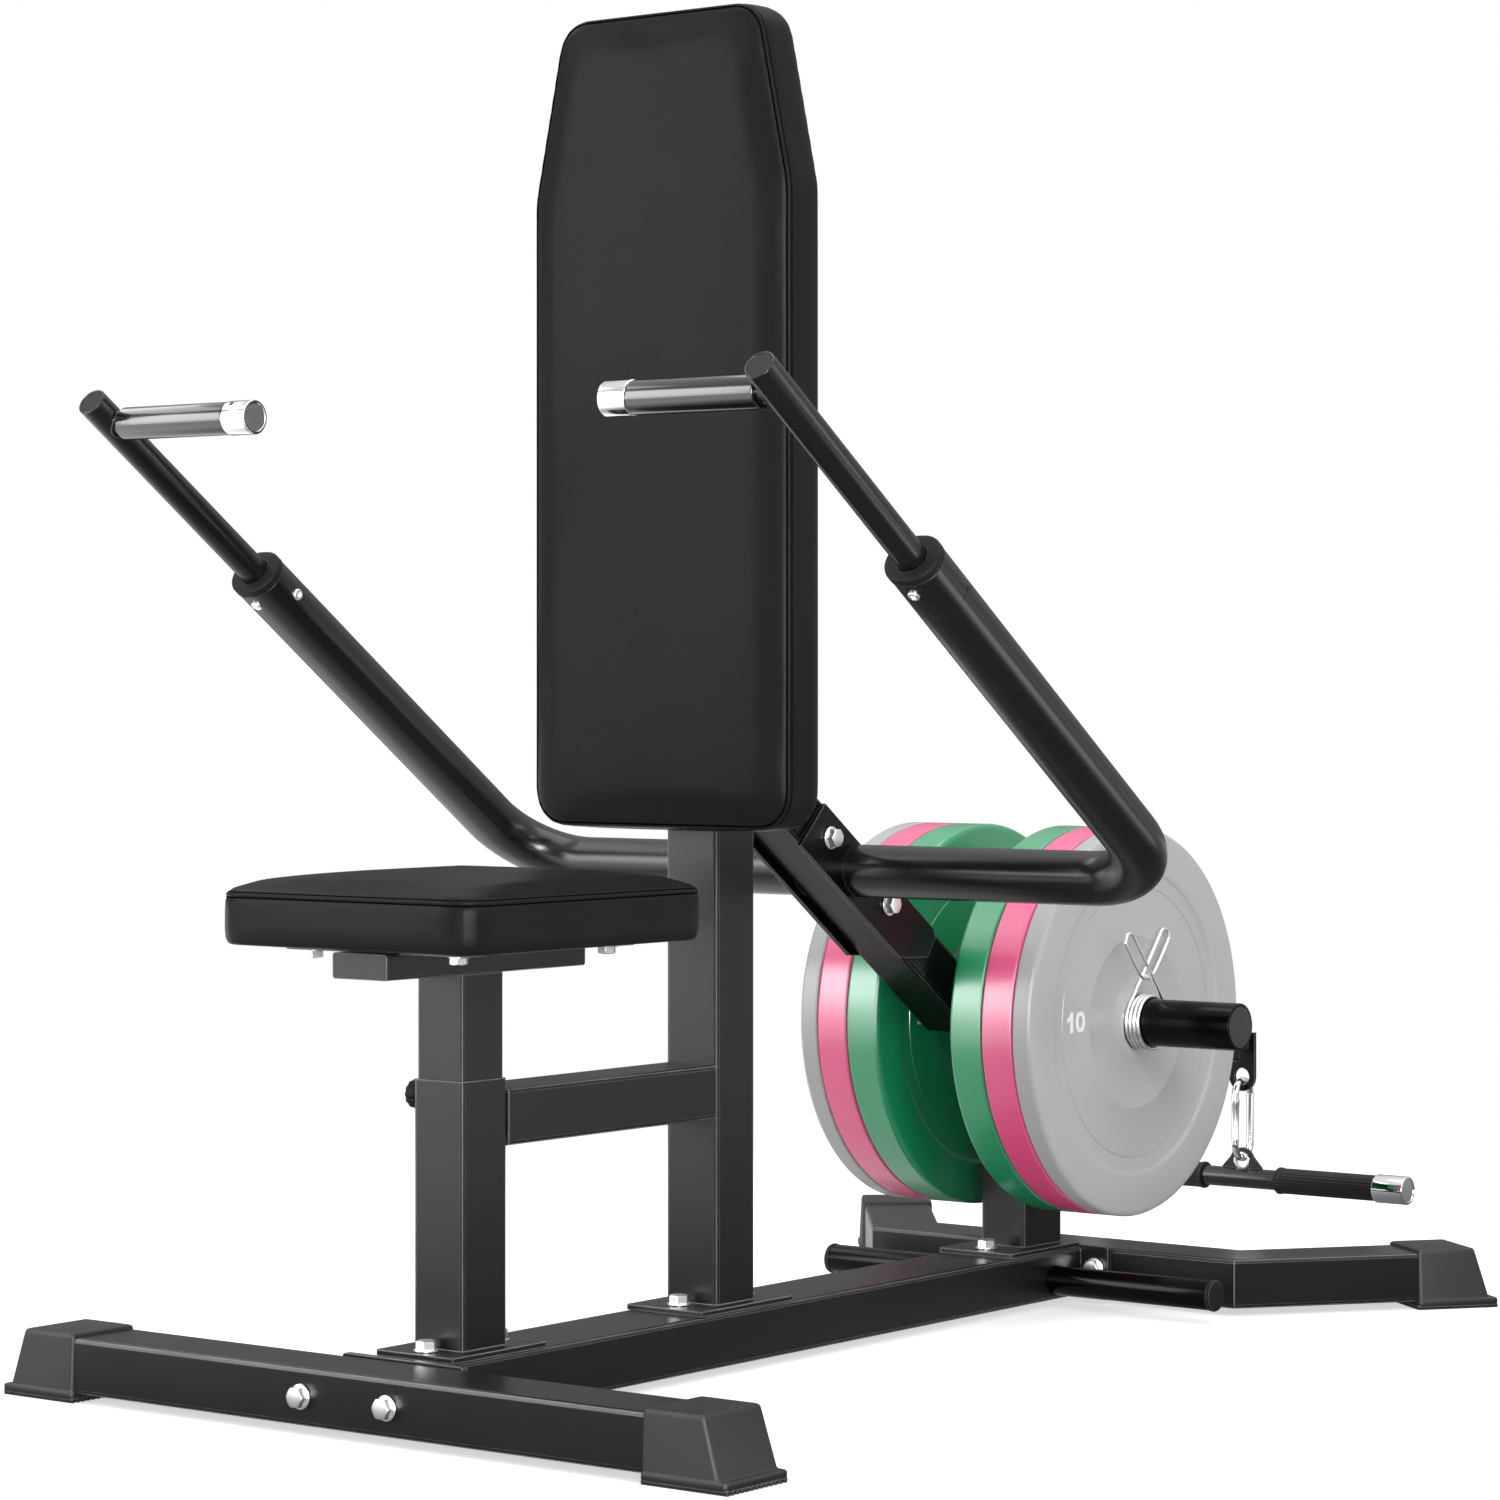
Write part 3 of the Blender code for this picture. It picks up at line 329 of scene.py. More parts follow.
def eased(points, steps):
    """A smooth path through the points."""
    pts = [Vector(p) for p in points]
    n = len(pts)
    made = []
    for i in range(n - 1):
        a, b, c, d = pts[max(i - 1, 0)], pts[i], pts[i + 1], pts[min(i + 2, n - 1)]
        for k in range(steps):
            t = k / steps
            made.append(
                0.5
                * (
                    2 * b
                    + (c - a) * t
                    + (2 * a - 5 * b + 4 * c - d) * t**2
                    + (3 * b - a - 3 * c + d) * t**3
                )
            )
    made.append(pts[-1])
    return made


def link_new(name, data):
    """A new object in the scene."""
    obj = bpy.data.objects.new(name, data)
    bpy.context.scene.collection.objects.link(obj)
    return obj


def piece(name, shape, look, body, nodes=(), soften=0.0, sharp=35.0):
    """A new piece from a shape, in its finish, riding on a body and standing for the nodes it replaces."""
    mesh = bpy.data.meshes.new(name)
    mesh.from_pydata([to_row(p) for p in shape[0]], [], shape[1])
    bm = bmesh.new()
    bm.from_mesh(mesh)
    bmesh.ops.recalc_face_normals(bm, faces=bm.faces)
    bm.to_mesh(mesh)
    bm.free()
    mesh.shade_smooth()
    mesh.set_sharp_from_angle(angle=math.radians(sharp))
    obj = link_new(name, mesh)
    mesh.materials.append(finish(look))
    if soften:
        edge = obj.modifiers.new("Softened edges", "BEVEL")
        edge.width, edge.segments = soften / 1000, 3
        edge.limit_method, edge.angle_limit = "ANGLE", math.radians(sharp)
        edge.harden_normals = True
    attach(obj, body)
    if nodes:
        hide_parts(*nodes)
    return obj


def coat(look, *names):
    """Gives CAD nodes that stay in view their finish."""
    for name in names:
        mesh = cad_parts[name].data
        mesh.materials.clear()
        mesh.materials.append(finish(look))
        for poly in mesh.polygons:
            poly.material_index = 0


# Shader parts that several finishes share


def socketed(name, inputs, outputs):
    """A node group with named sockets, each given as (name, kind, default)."""
    tree = bpy.data.node_groups.new(name, "ShaderNodeTree")
    for label, kind, value in inputs:
        item = tree.interface.new_socket(name=label, in_out="INPUT", socket_type=kind)
        item.default_value = value
    for label, kind in outputs:
        tree.interface.new_socket(name=label, in_out="OUTPUT", socket_type=kind)
    return tree, tree.nodes.new("NodeGroupInput"), tree.nodes.new("NodeGroupOutput")


def node(tree, kind, values=(), **settings):
    """A node with its settings; values maps an input to a number, a colour or another node's output."""
    made = tree.nodes.new(kind)
    for key, value in settings.items():
        setattr(made, key, value)
    for key, value in dict(values).items():
        if isinstance(value, bpy.types.NodeSocket):
            tree.links.new(value, made.inputs[key])
        else:
            made.inputs[key].default_value = value
    return made


def ramp(tree, value, low, high, to_low=0.0, to_high=1.0, smooth=False):
    """Maps a node's output from low..high to to_low..to_high."""
    made = node(
        tree,
        "ShaderNodeMapRange",
        {"Value": value, "From Min": low, "From Max": high, "To Min": to_low, "To Max": to_high},
        interpolation_type="SMOOTHSTEP" if smooth else "LINEAR",
    )
    return made.outputs[0]


def sum_of(tree, values):
    """Adds node outputs up."""
    total = values[0]
    for value in values[1:]:
        total = node(tree, "ShaderNodeMath", {0: total, 1: value}, operation="ADD").outputs[0]
    return total


def surface_grain():
    """Fine grain for paint and rubber: varied colour and roughness, and a height for bumps."""
    if "Surface grain" in bpy.data.node_groups:
        return bpy.data.node_groups["Surface grain"]
    tree, given, out = socketed(
        "Surface grain",
        (
            ("Colour", "NodeSocketColor", (0.5, 0.5, 0.5, 1)),
            ("Colour variation", "NodeSocketFloat", 0.08),
            ("Grain per metre", "NodeSocketFloat", 900.0),
            ("Roughness", "NodeSocketFloat", 0.4),
            ("Roughness variation", "NodeSocketFloat", 0.08),
        ),
        (("Colour", "NodeSocketColor"), ("Roughness", "NodeSocketFloat"), ("Height", "NodeSocketFloat")),
    )
    place = node(tree, "ShaderNodeTexCoord")
    fine = node(
        tree,
        "ShaderNodeTexNoise",
        {"Vector": place.outputs["Object"], "Scale": given.outputs["Grain per metre"], "Detail": 3.0},
    )
    broad = node(
        tree, "ShaderNodeTexNoise", {"Vector": place.outputs["Object"], "Scale": 7.0, "Detail": 4.0}
    )
    both = node(tree, "ShaderNodeMath", {0: fine.outputs[0], 1: broad.outputs[0]}, operation="ADD")
    swing = node(tree, "ShaderNodeMath", {0: both.outputs[0], 1: 1.0}, operation="SUBTRACT")
    bright = node(
        tree,
        "ShaderNodeMath",
        {0: swing.outputs[0], 1: given.outputs["Colour variation"], 2: 1.0},
        operation="MULTIPLY_ADD",
    )
    tint = node(
        tree,
        "ShaderNodeHueSaturation",
        {"Value": bright.outputs[0], "Color": given.outputs["Colour"]},
    )
    rough = node(
        tree,
        "ShaderNodeMath",
        {
            0: swing.outputs[0],
            1: given.outputs["Roughness variation"],
            2: given.outputs["Roughness"],
        },
        operation="MULTIPLY_ADD",
    )
    tree.links.new(tint.outputs[0], out.inputs["Colour"])
    tree.links.new(rough.outputs[0], out.inputs["Roughness"])
    tree.links.new(fine.outputs[0], out.inputs["Height"])
    return tree


def edge_highlights():
    """A mask of convex and concave edges, which get a painted highlight and a smoother finish than the
    faces beside them.
    """
    if "Rubbed edges" in bpy.data.node_groups:
        return bpy.data.node_groups["Rubbed edges"]
    tree, given, out = socketed(
        "Rubbed edges",
        (("Radius", "NodeSocketFloat", 0.001), ("Amount", "NodeSocketFloat", 1.0)),
        (("Mask", "NodeSocketFloat"),),
    )
    round_off = node(tree, "ShaderNodeBevel", {"Radius": given.outputs["Radius"]}, samples=6)
    shape = node(tree, "ShaderNodeNewGeometry")
    near = node(
        tree,
        "ShaderNodeVectorMath",
        {0: round_off.outputs[0], 1: shape.outputs["Normal"]},
        operation="DOT_PRODUCT",
    )
    band = ramp(tree, near.outputs["Value"], 0.996, 0.93, smooth=True)
    spots = node(tree, "ShaderNodeTexCoord")
    patchy = node(
        tree, "ShaderNodeTexNoise", {"Vector": spots.outputs["Object"], "Scale": 22.0, "Detail": 3.0}
    )
    # patches break up the painted edge highlight
    broken_share = ramp(tree, patchy.outputs[0], 0.3, 0.6, 0.55)
    mask = node(tree, "ShaderNodeMath", {0: band, 1: broken_share}, operation="MULTIPLY")
    scaled = node(
        tree, "ShaderNodeMath", {0: mask.outputs[0], 1: given.outputs["Amount"]}, operation="MULTIPLY"
    )
    tree.links.new(scaled.outputs[0], out.inputs["Mask"])
    return tree


def hide_grain():
    """Pebbled faux leather: cells with soft valleys, darkened there as painted shade, and a slower
    unevenness of the foam below.
    """
    if "Hide grain" in bpy.data.node_groups:
        return bpy.data.node_groups["Hide grain"]
    tree, given, out = socketed(
        "Hide grain",
        (
            ("Colour", "NodeSocketColor", (0.03, 0.03, 0.03, 1)),
            ("Cells per metre", "NodeSocketFloat", 850.0),
        ),
        (
            ("Colour", "NodeSocketColor"),
            ("Roughness", "NodeSocketFloat"),
            ("Height", "NodeSocketFloat"),
        ),
    )
    place = node(tree, "ShaderNodeTexCoord")
    cells = node(
        tree,
        "ShaderNodeTexVoronoi",
        {"Vector": place.outputs["Object"], "Scale": given.outputs["Cells per metre"], "Randomness": 0.9},
        feature="DISTANCE_TO_EDGE",
    )
    pebble = ramp(tree, cells.outputs["Distance"], 0.0, 0.35, smooth=True)
    slow = node(
        tree, "ShaderNodeTexNoise", {"Vector": place.outputs["Object"], "Scale": 16.0, "Detail": 3.0}
    )
    value = ramp(tree, slow.outputs[0], 0.0, 1.0, 0.9, 1.12)
    # the valleys between the cells are darkened: painted shade
    valley_shade = ramp(tree, pebble, 0.0, 1.0, 0.82, 1.0)
    shade = node(tree, "ShaderNodeMath", {0: value, 1: valley_shade}, operation="MULTIPLY")
    tint = node(
        tree,
        "ShaderNodeHueSaturation",
        {"Value": shade.outputs[0], "Color": given.outputs["Colour"]},
    )
    rough = ramp(tree, pebble, 0.0, 1.0, 0.36, 0.28)
    height = node(
        tree, "ShaderNodeMath", {0: slow.outputs[0], 1: 1.5, 2: pebble}, operation="MULTIPLY_ADD"
    )
    tree.links.new(tint.outputs[0], out.inputs["Colour"])
    tree.links.new(rough, out.inputs["Roughness"])
    tree.links.new(height.outputs[0], out.inputs["Height"])
    return tree


# Finishes

# colour or the name of a setting, colour variation, grain per metre, roughness, its variation,
# bump, bump depth and rounding of edges in millimetres
GRAINED = {
    "powder coat": ("frame_colour", 0.25, 900.0, 0.32, 0.10, 0.22, 0.05, 1.6),
    "horn enamel": ((0.003, 0.003, 0.003), 0.2, 300.0, 0.16, 0.06, 0.05, 0.03, 0.8),
    "arm enamel": ("frame_colour", 0.2, 900.0, 0.26, 0.08, 0.12, 0.04, 1.0),
    # the lever's paint is the frame's paint made darker: painted shade from the seat pad above it
    "lever enamel": ((0.003, 0.003, 0.0032), 0.25, 900.0, 0.28, 0.10, 0.20, 0.05, 1.4),
    "horn disc": ((0.045, 0.045, 0.045), 0.15, 500.0, 0.45, 0.10, 0.20, 0.05, 0.5),
    "rod plug": ((0.045, 0.045, 0.045), 0.15, 500.0, 0.6, 0.10, 0.15, 0.04, 0.3),
    "seam thread": ((0.002, 0.002, 0.002), 0.2, 900.0, 0.8, 0.1, 0.2, 0.04, 0.1),
    # a dark colour that stands for the shade inside the arms' slots and the collars' pin holes: painted
    # shade
    "dark gap": ((0.004, 0.004, 0.004), 0.2, 500.0, 0.6, 0.10, 0.2, 0.05, 0.2),
    "foot rubber": ("rubber_colour", 0.2, 700.0, 0.55, 0.12, 0.35, 0.10, 1.2),
    "grip rubber": ((0.014, 0.014, 0.014), 0.2, 800.0, 0.42, 0.10, 0.25, 0.08, 0.6),
    "grip gloss": ((0.006, 0.006, 0.006), 0.2, 120.0, 0.2, 0.05, 0.01, 0.02, 0.5),
    "cap plastic": ((0.018, 0.018, 0.018), 0.15, 600.0, 0.5, 0.10, 0.20, 0.05, 1.0),
    "end disc": ((0.16, 0.16, 0.16), 0.10, 500.0, 0.45, 0.10, 0.15, 0.04, 0.4),
    "green rubber": ("green_colour", 0.12, 500.0, 0.36, 0.10, 0.20, 0.06, 1.5),
    "pink rubber": ("pink_colour", 0.08, 500.0, 0.36, 0.10, 0.20, 0.06, 1.5),
    "gray rubber": ("gray_colour", 0.06, 500.0, 0.42, 0.10, 0.20, 0.06, 1.5),
    "number paint": ((0.97, 0.97, 0.97), 0.04, 700.0, 0.45, 0.08, 0.15, 0.03, 0.2),
    "stained board": ((0.020, 0.018, 0.017), 0.35, 160.0, 0.75, 0.12, 0.40, 0.15, 0.8),
}
# clear layer on top: weight, roughness, index of refraction
COATED = {
    "grip gloss": (0.8, 0.07, 1.5),
    "green rubber": (0.9, 0.27, 1.8),
    "pink rubber": (0.9, 0.27, 1.8),
    "gray rubber": (0.4, 0.26, 1.5),
}
# specular level of the leather, and of the rest where it isn't the usual half
LEATHER_SHINE = 0.045
SHINE = {
    "powder coat": 0.40,
    "lever enamel": 0.16,
    "horn enamel": 0.12,
    "horn disc": 0.25,
    "rod plug": 0.10,
    "cap plastic": 0.10,
    "end disc": 0.30,
    "grip rubber": 0.25,
    "seam thread": 0.0,
}
# how much darker the feet are below a height next to the floor than above it, and that height in metres
SOLE_DARK, SOLE_TOP = 0.35, 0.009
# colour of the painted highlight on edges, and the edges' roughness
EDGE_HIGHLIGHT_COLOUR, EDGE_HIGHLIGHT_ROUGH = (0.45, 0.45, 0.45, 1.0), 0.2
# edges given a painted highlight and less roughness: radius in metres, amount
EDGE_HIGHLIGHT = {
    "powder coat": (0.0019, 1.0),
    "lever enamel": (0.0014, 0.5),
    "foot rubber": (0.0016, 0.7),
    "cap plastic": (0.0012, 0.5),
}
# colour, roughness, smudge
BRIGHT = {
    "chrome": ((0.92, 0.92, 0.93), 0.15, 0.10),
    "zinc plate": ((0.94, 0.94, 0.95), 0.34, 0.08),
    "spring steel": ((0.95, 0.95, 0.96), 0.26, 0.10),
    "bore steel": ((0.33, 0.33, 0.34), 0.32, 0.12),
}


def finish(look):
    """The named finish, built the first time it is asked for."""
    if look in bpy.data.materials:
        return bpy.data.materials[look]
    made = bpy.data.materials.new(look)
    made.use_nodes = True
    tree = made.node_tree
    shader = tree.nodes["Principled BSDF"]
    if look in BRIGHT:
        bright_finish(tree, shader, *BRIGHT[look])
    elif look in ("faux leather", "seam welt"):
        leather_finish(tree, shader)
    else:
        grained_finish(tree, shader, look, *GRAINED[look])
    return made


def grained_finish(tree, shader, look, colour, shift, scale, rough, spread, bump, depth, edge):
    """Paint, rubber, plastic or wood: grain, softened edges, and a painted highlight on edges or a clear
    layer where it has one.
    """
    if isinstance(colour, str):
        colour = getattr(bpy.context.scene.dip_paint, colour)
    grain = node(tree, "ShaderNodeGroup", node_tree=surface_grain())
    grain.inputs["Colour"].default_value = (*colour, 1.0)
    for label, value in (
        ("Colour variation", shift),
        ("Grain per metre", scale),
        ("Roughness", rough),
        ("Roughness variation", spread),
    ):
        grain.inputs[label].default_value = value
    corner = node(tree, "ShaderNodeBevel", {"Radius": edge / 1000}, samples=4)
    rise = node(
        tree,
        "ShaderNodeBump",
        {
            "Strength": bump,
            "Distance": depth / 1000,
            "Height": grain.outputs["Height"],
            "Normal": corner.outputs[0],
        },
    )
    tint, rough_out = grain.outputs["Colour"], grain.outputs["Roughness"]
    # the feet are darker below SOLE_TOP, next to the floor
    if look == "foot rubber":
        place = node(tree, "ShaderNodeTexCoord")
        part = node(tree, "ShaderNodeSeparateXYZ", {0: place.outputs["Object"]})
        sole = ramp(tree, part.outputs["Z"], SOLE_TOP - 0.0006, SOLE_TOP + 0.0006, SOLE_DARK)
        tint = node(tree, "ShaderNodeHueSaturation", {"Value": sole, "Color": tint}).outputs[0]
    # painted highlight on the edges: a paler colour, and less roughness
    if look in EDGE_HIGHLIGHT:
        highlight_mask = node(tree, "ShaderNodeGroup", node_tree=edge_highlights())
        highlight_mask.inputs["Radius"].default_value, highlight_mask.inputs["Amount"].default_value = EDGE_HIGHLIGHT[look]
        highlit_tint = node(
            tree,
            "ShaderNodeMix",
            {"Factor": highlight_mask.outputs["Mask"], 6: tint, 7: EDGE_HIGHLIGHT_COLOUR},
            data_type="RGBA",
        )
        sleek = node(
            tree,
            "ShaderNodeMix",
            {"Factor": highlight_mask.outputs["Mask"], 2: rough_out, 3: EDGE_HIGHLIGHT_ROUGH},
            data_type="FLOAT",
        )
        tint, rough_out = highlit_tint.outputs[2], sleek.outputs[0]
    tree.links.new(tint, shader.inputs["Base Color"])
    tree.links.new(rough_out, shader.inputs["Roughness"])
    tree.links.new(rise.outputs[0], shader.inputs["Normal"])
    if look in COATED:
        for label, value in zip(("Coat Weight", "Coat Roughness", "Coat IOR"), COATED[look]):
            shader.inputs[label].default_value = value
    if look in SHINE:
        shader.inputs["Specular IOR Level"].default_value = SHINE[look]


def bright_finish(tree, shader, colour, rough, smudge):
    """Plated steel: smudges change its tone and roughness."""
    place = node(tree, "ShaderNodeTexCoord")
    cloud = node(
        tree, "ShaderNodeTexNoise", {"Vector": place.outputs["Object"], "Scale": 55.0, "Detail": 4.0}
    )
    blur = ramp(tree, cloud.outputs[0], 0.0, 1.0, rough - smudge / 2, rough + smudge)
    tone = ramp(tree, cloud.outputs[0], 0.0, 1.0, 0.94, 1.04)
    tint = node(tree, "ShaderNodeHueSaturation", {"Value": tone, "Color": (*colour, 1.0)})
    corner = node(tree, "ShaderNodeBevel", {"Radius": 0.0006}, samples=4)
    shader.inputs["Metallic"].default_value = 1.0
    tree.links.new(tint.outputs[0], shader.inputs["Base Color"])
    tree.links.new(blur, shader.inputs["Roughness"])
    tree.links.new(corner.outputs[0], shader.inputs["Normal"])


def leather_finish(tree, shader):
    """Faux leather, with little gloss."""
    colour = bpy.context.scene.dip_paint.leather_colour
    hide = node(tree, "ShaderNodeGroup", node_tree=hide_grain())
    hide.inputs["Colour"].default_value = (*colour, 1.0)
    rise = node(
        tree,
        "ShaderNodeBump",
        {"Strength": 0.16, "Distance": 0.00025, "Height": hide.outputs["Height"]},
    )
    tree.links.new(hide.outputs["Colour"], shader.inputs["Base Color"])
    tree.links.new(hide.outputs["Roughness"], shader.inputs["Roughness"])
    tree.links.new(rise.outputs[0], shader.inputs["Normal"])
    shader.inputs["Specular IOR Level"].default_value = LEATHER_SHINE


# Stage

# The camera's place in millimetres, its turn to the left in degrees and its shift
CAMERA_AT, CAMERA_TURN, CAMERA_SHIFT = (2500.3, -2719.6, 640.0), 37.26, -0.0439
# Each lamp's name, place, point aimed at and size, in metres, and the setting with its power. The gleams
# show in glossy surfaces only, and the strip doesn't show in them.
LAMPS = (
    ("Key light", (-2.9, -3.9, 1.9), (0.0, 0.0, 0.6), (2.6, 2.2), "key"),
    ("Top light", (0.2, 0.1, 3.4), (0.0, 0.0, 0.4), (2.6, 3.0), "top"),
    ("Side light", (3.6, 1.4, 1.3), (0.0, 0.0, 0.5), (0.7, 2.0), "side"),
    ("Fill light", (3.4, -1.8, 2.4), (0.0, 0.0, 0.4), (1.6, 1.6), "fill"),
    ("Strip light", (-2.6, -0.5, 3.0), (0.0, 0.1, 0.6), (3.0, 0.3), "strip"),
    ("Window gleam", (-2.25, -3.35, 1.6), (0.0, -0.1, 1.0), (2.2, 2.6), "window"),
    ("Front gleam", (2.95, -4.1, 1.2), (0.0, 0.0, 0.7), (1.2, 2.2), "front"),
    ("Upper gleam", (-2.7, -0.6, 3.1), (0.0, 0.1, 0.6), (3.0, 0.8), "upper"),
)
# Radii of the floor's rings in metres, and the points on each
FLOOR_RINGS, FLOOR_POINTS = (0.05, 1.0, 2.0, 4.0, 60.0), 96
# Ways across the floor, as the camera sees it
TO_RIGHT, TO_FRONT_LEFT = (0.80, 0.60, 0.0), (-0.61, -0.79, 0.0)
# Pale cards on the floor that only mirrors show: middle, reach and strength
CARDS = (((2.0, 0.7, 0.0), 1.1, 3.0), ((-1.0, 0.3, 0.0), 1.4, 1.2))
WHITE = (1, 1, 1, 1)


def build_stage(context):
    """White surroundings, a floor that keeps the shadow, the lamps and the camera."""
    scene = context.scene
    scene.view_settings.view_transform = "Standard"
    surround(scene)

    points, faces = loft([[(x, y, 0.0) for x, y in circle(r, FLOOR_POINTS)] for r in FLOOR_RINGS])
    mesh = bpy.data.meshes.new("Floor")
    # the last face would close the outer ring
    mesh.from_pydata(points, [], faces[:-1])
    floor = link_new("Floor", mesh)
    mesh.materials.append(floor_finish())

    for name, at, aim, size, setting in LAMPS:
        lamp = bpy.data.lights.new(name, "AREA")
        lamp.shape, lamp.size, lamp.size_y = "RECTANGLE", *size
        lamp.energy = getattr(scene.dip_stage, setting)
        obj = link_new(name, lamp)
        obj.visible_camera = False
        obj.visible_diffuse = not name.endswith("gleam")
        obj.visible_glossy = name != "Strip light"
        obj.location = at
        obj.rotation_euler = (Vector(aim) - Vector(at)).to_track_quat("-Z", "Y").to_euler()

    cam = bpy.data.cameras.new("Camera")
    cam.lens, cam.sensor_width, cam.shift_y = scene.dip_stage.lens, 36.0, CAMERA_SHIFT
    cam.clip_end = 100.0
    obj = link_new("Camera", cam)
    obj.location = to_row(CAMERA_AT)
    obj.rotation_euler = (math.radians(90.0), 0.0, math.radians(CAMERA_TURN))
    scene.camera = obj


def surround(scene):
    """The world: white to the eye, even light for matt surfaces, brighter above and right in mirrors."""
    world = bpy.data.worlds.new("Studio")
    scene.world = world
    world.use_nodes = True
    tree = world.node_tree
    tree.nodes.clear()
    rays = node(tree, "ShaderNodeLightPath")
    place = node(tree, "ShaderNodeTexCoord")
    part = node(tree, "ShaderNodeSeparateXYZ", {0: place.outputs["Generated"]})
    toward = node(
        tree, "ShaderNodeVectorMath", {0: place.outputs["Generated"], 1: TO_RIGHT}, operation="DOT_PRODUCT"
    )
    right = ramp(tree, toward.outputs["Value"], 0.2, 0.95, 0.0, 0.26, smooth=True)
    above = ramp(tree, part.outputs["Z"], 0.1, 0.9, 0.23, 0.9, smooth=True)
    room = node(tree, "ShaderNodeBackground", {"Color": WHITE, "Strength": scene.dip_stage.room})
    seen = node(tree, "ShaderNodeBackground", {"Color": WHITE, "Strength": 1.0})
    mirror = node(tree, "ShaderNodeBackground", {"Color": WHITE, "Strength": sum_of(tree, [right, above])})
    gloss = node(
        tree,
        "ShaderNodeMath",
        {0: rays.outputs["Is Glossy Ray"], 1: rays.outputs["Is Transmission Ray"]},
        operation="MAXIMUM",
    )
    first = node(
        tree, "ShaderNodeMixShader", {0: gloss.outputs[0], 1: room.outputs[0], 2: mirror.outputs[0]}
    )
    last = node(
        tree,
        "ShaderNodeMixShader",
        {0: rays.outputs["Is Camera Ray"], 1: first.outputs[0], 2: seen.outputs[0]},
    )
    node(tree, "ShaderNodeOutputWorld", {"Surface": last.outputs[0]})


def floor_finish():
    """White floor: it glows for the eye, so that only its shadow is gray, and shades off in mirrors."""
    made = bpy.data.materials.new("White floor")
    made.use_nodes = True
    tree = made.node_tree
    tree.nodes.clear()
    rays = node(tree, "ShaderNodeLightPath")
    place = node(tree, "ShaderNodeTexCoord").outputs["Object"]
    far = node(tree, "ShaderNodeVectorMath", {0: place}, operation="LENGTH").outputs["Value"]

    # for the eye: matt with a glow near the machine, plain white farther off
    fade = ramp(tree, far, 1.1, 2.4, smooth=True)
    eye = node(tree, "ShaderNodeMath", {0: fade, 1: rays.outputs["Is Camera Ray"]}, operation="MULTIPLY")
    matt = node(tree, "ShaderNodeBsdfDiffuse", {"Color": (0.8, 0.8, 0.8, 1)})
    lift = node(tree, "ShaderNodeMath", {0: rays.outputs["Is Camera Ray"], 1: 0.62}, operation="MULTIPLY")
    glow = node(tree, "ShaderNodeEmission", {"Color": WHITE, "Strength": lift.outputs[0]})
    near = node(tree, "ShaderNodeAddShader", {0: matt.outputs[0], 1: glow.outputs[0]})
    white = node(tree, "ShaderNodeEmission", {"Color": WHITE, "Strength": 1.0})
    seen = node(
        tree, "ShaderNodeMixShader", {0: eye.outputs[0], 1: near.outputs[0], 2: white.outputs[0]}
    )

    # for mirrors: bright at the front left, dim at the machine, brighter far off and at the right
    leftward, rightward = (
        node(tree, "ShaderNodeVectorMath", {0: place, 1: way}, operation="DOT_PRODUCT").outputs["Value"]
        for way in (TO_FRONT_LEFT, TO_RIGHT)
    )
    parts = [
        ramp(tree, leftward, 0.85, 1.8, 0.0, 1.8, smooth=True),
        ramp(tree, leftward, -1.2, 0.8, 0.08, 0.22),
        ramp(tree, far, 3.0, 9.0, 0.0, 0.55),
        ramp(tree, rightward, 0.6, 2.0, 0.0, 0.34, smooth=True),
    ]
    for middle, reach, strength in CARDS:
        apart = node(tree, "ShaderNodeVectorMath", {0: place, 1: middle}, operation="DISTANCE")
        parts.append(ramp(tree, apart.outputs["Value"], reach, 0.2, 0.0, strength, smooth=True))
    mirror = node(tree, "ShaderNodeEmission", {"Color": WHITE, "Strength": sum_of(tree, parts)})
    last = node(
        tree,
        "ShaderNodeMixShader",
        {0: rays.outputs["Is Glossy Ray"], 1: seen.outputs[0], 2: mirror.outputs[0]},
    )
    node(tree, "ShaderNodeOutputMaterial", {"Surface": last.outputs[0]})
    return made


# Frame


def build_frame(context):
    """Paint on the tubes and brackets, stain on the boards, and the storage pegs."""
    coat(
        "powder coat",
        "front_crossbar", "main_rail", "rear_stabiliser", "seat_sleeve", "brace", "back_post", "rest_post",
        "pivot_bracket", "seat_inner_post", "seat_bracket",
    )
    # the lever and its saddle plates take the frame's paint, darkened as painted shade
    coat("lever enamel", "lever_tube", "saddle_plate_left", "saddle_plate_right")
    coat("stained board", "back_board", "seat_board")
    coat("foot rubber", "rest_bumper")
    tube = rounded(
        [
            (PEG_END - 4.6, PEG_BORE), (PEG_START, PEG_BORE), (PEG_START, PEG_R), (PEG_END, PEG_R),
            (PEG_END, PEG_BORE),
        ],
        (2, 3),
        0.6,
    )
    # the cap's plug, rim and face, as (distance past the tube's end, radius)
    cap = (
        (-7.6, 12.6), (-0.2, 12.6), (-0.2, 15.7), (2.4, 15.9),
        (4.0, 15.2), (4.8, 13.6), (5.3, 9.0), (5.4, 2.0),
    )
    cap = [(PEG_END + out, r) for out, r in cap]
    for side, word in SIDES:
        shape = mirrored(turned("x", tube, PEG, 64, True), side)
        piece(f"peg_tube_{word}", shape, "horn enamel", "frame", [f"storage_peg_{word}"])
        piece(f"peg_cap_{word}", mirrored(turned("x", cap, PEG, 64), side), "cap plastic", "frame")


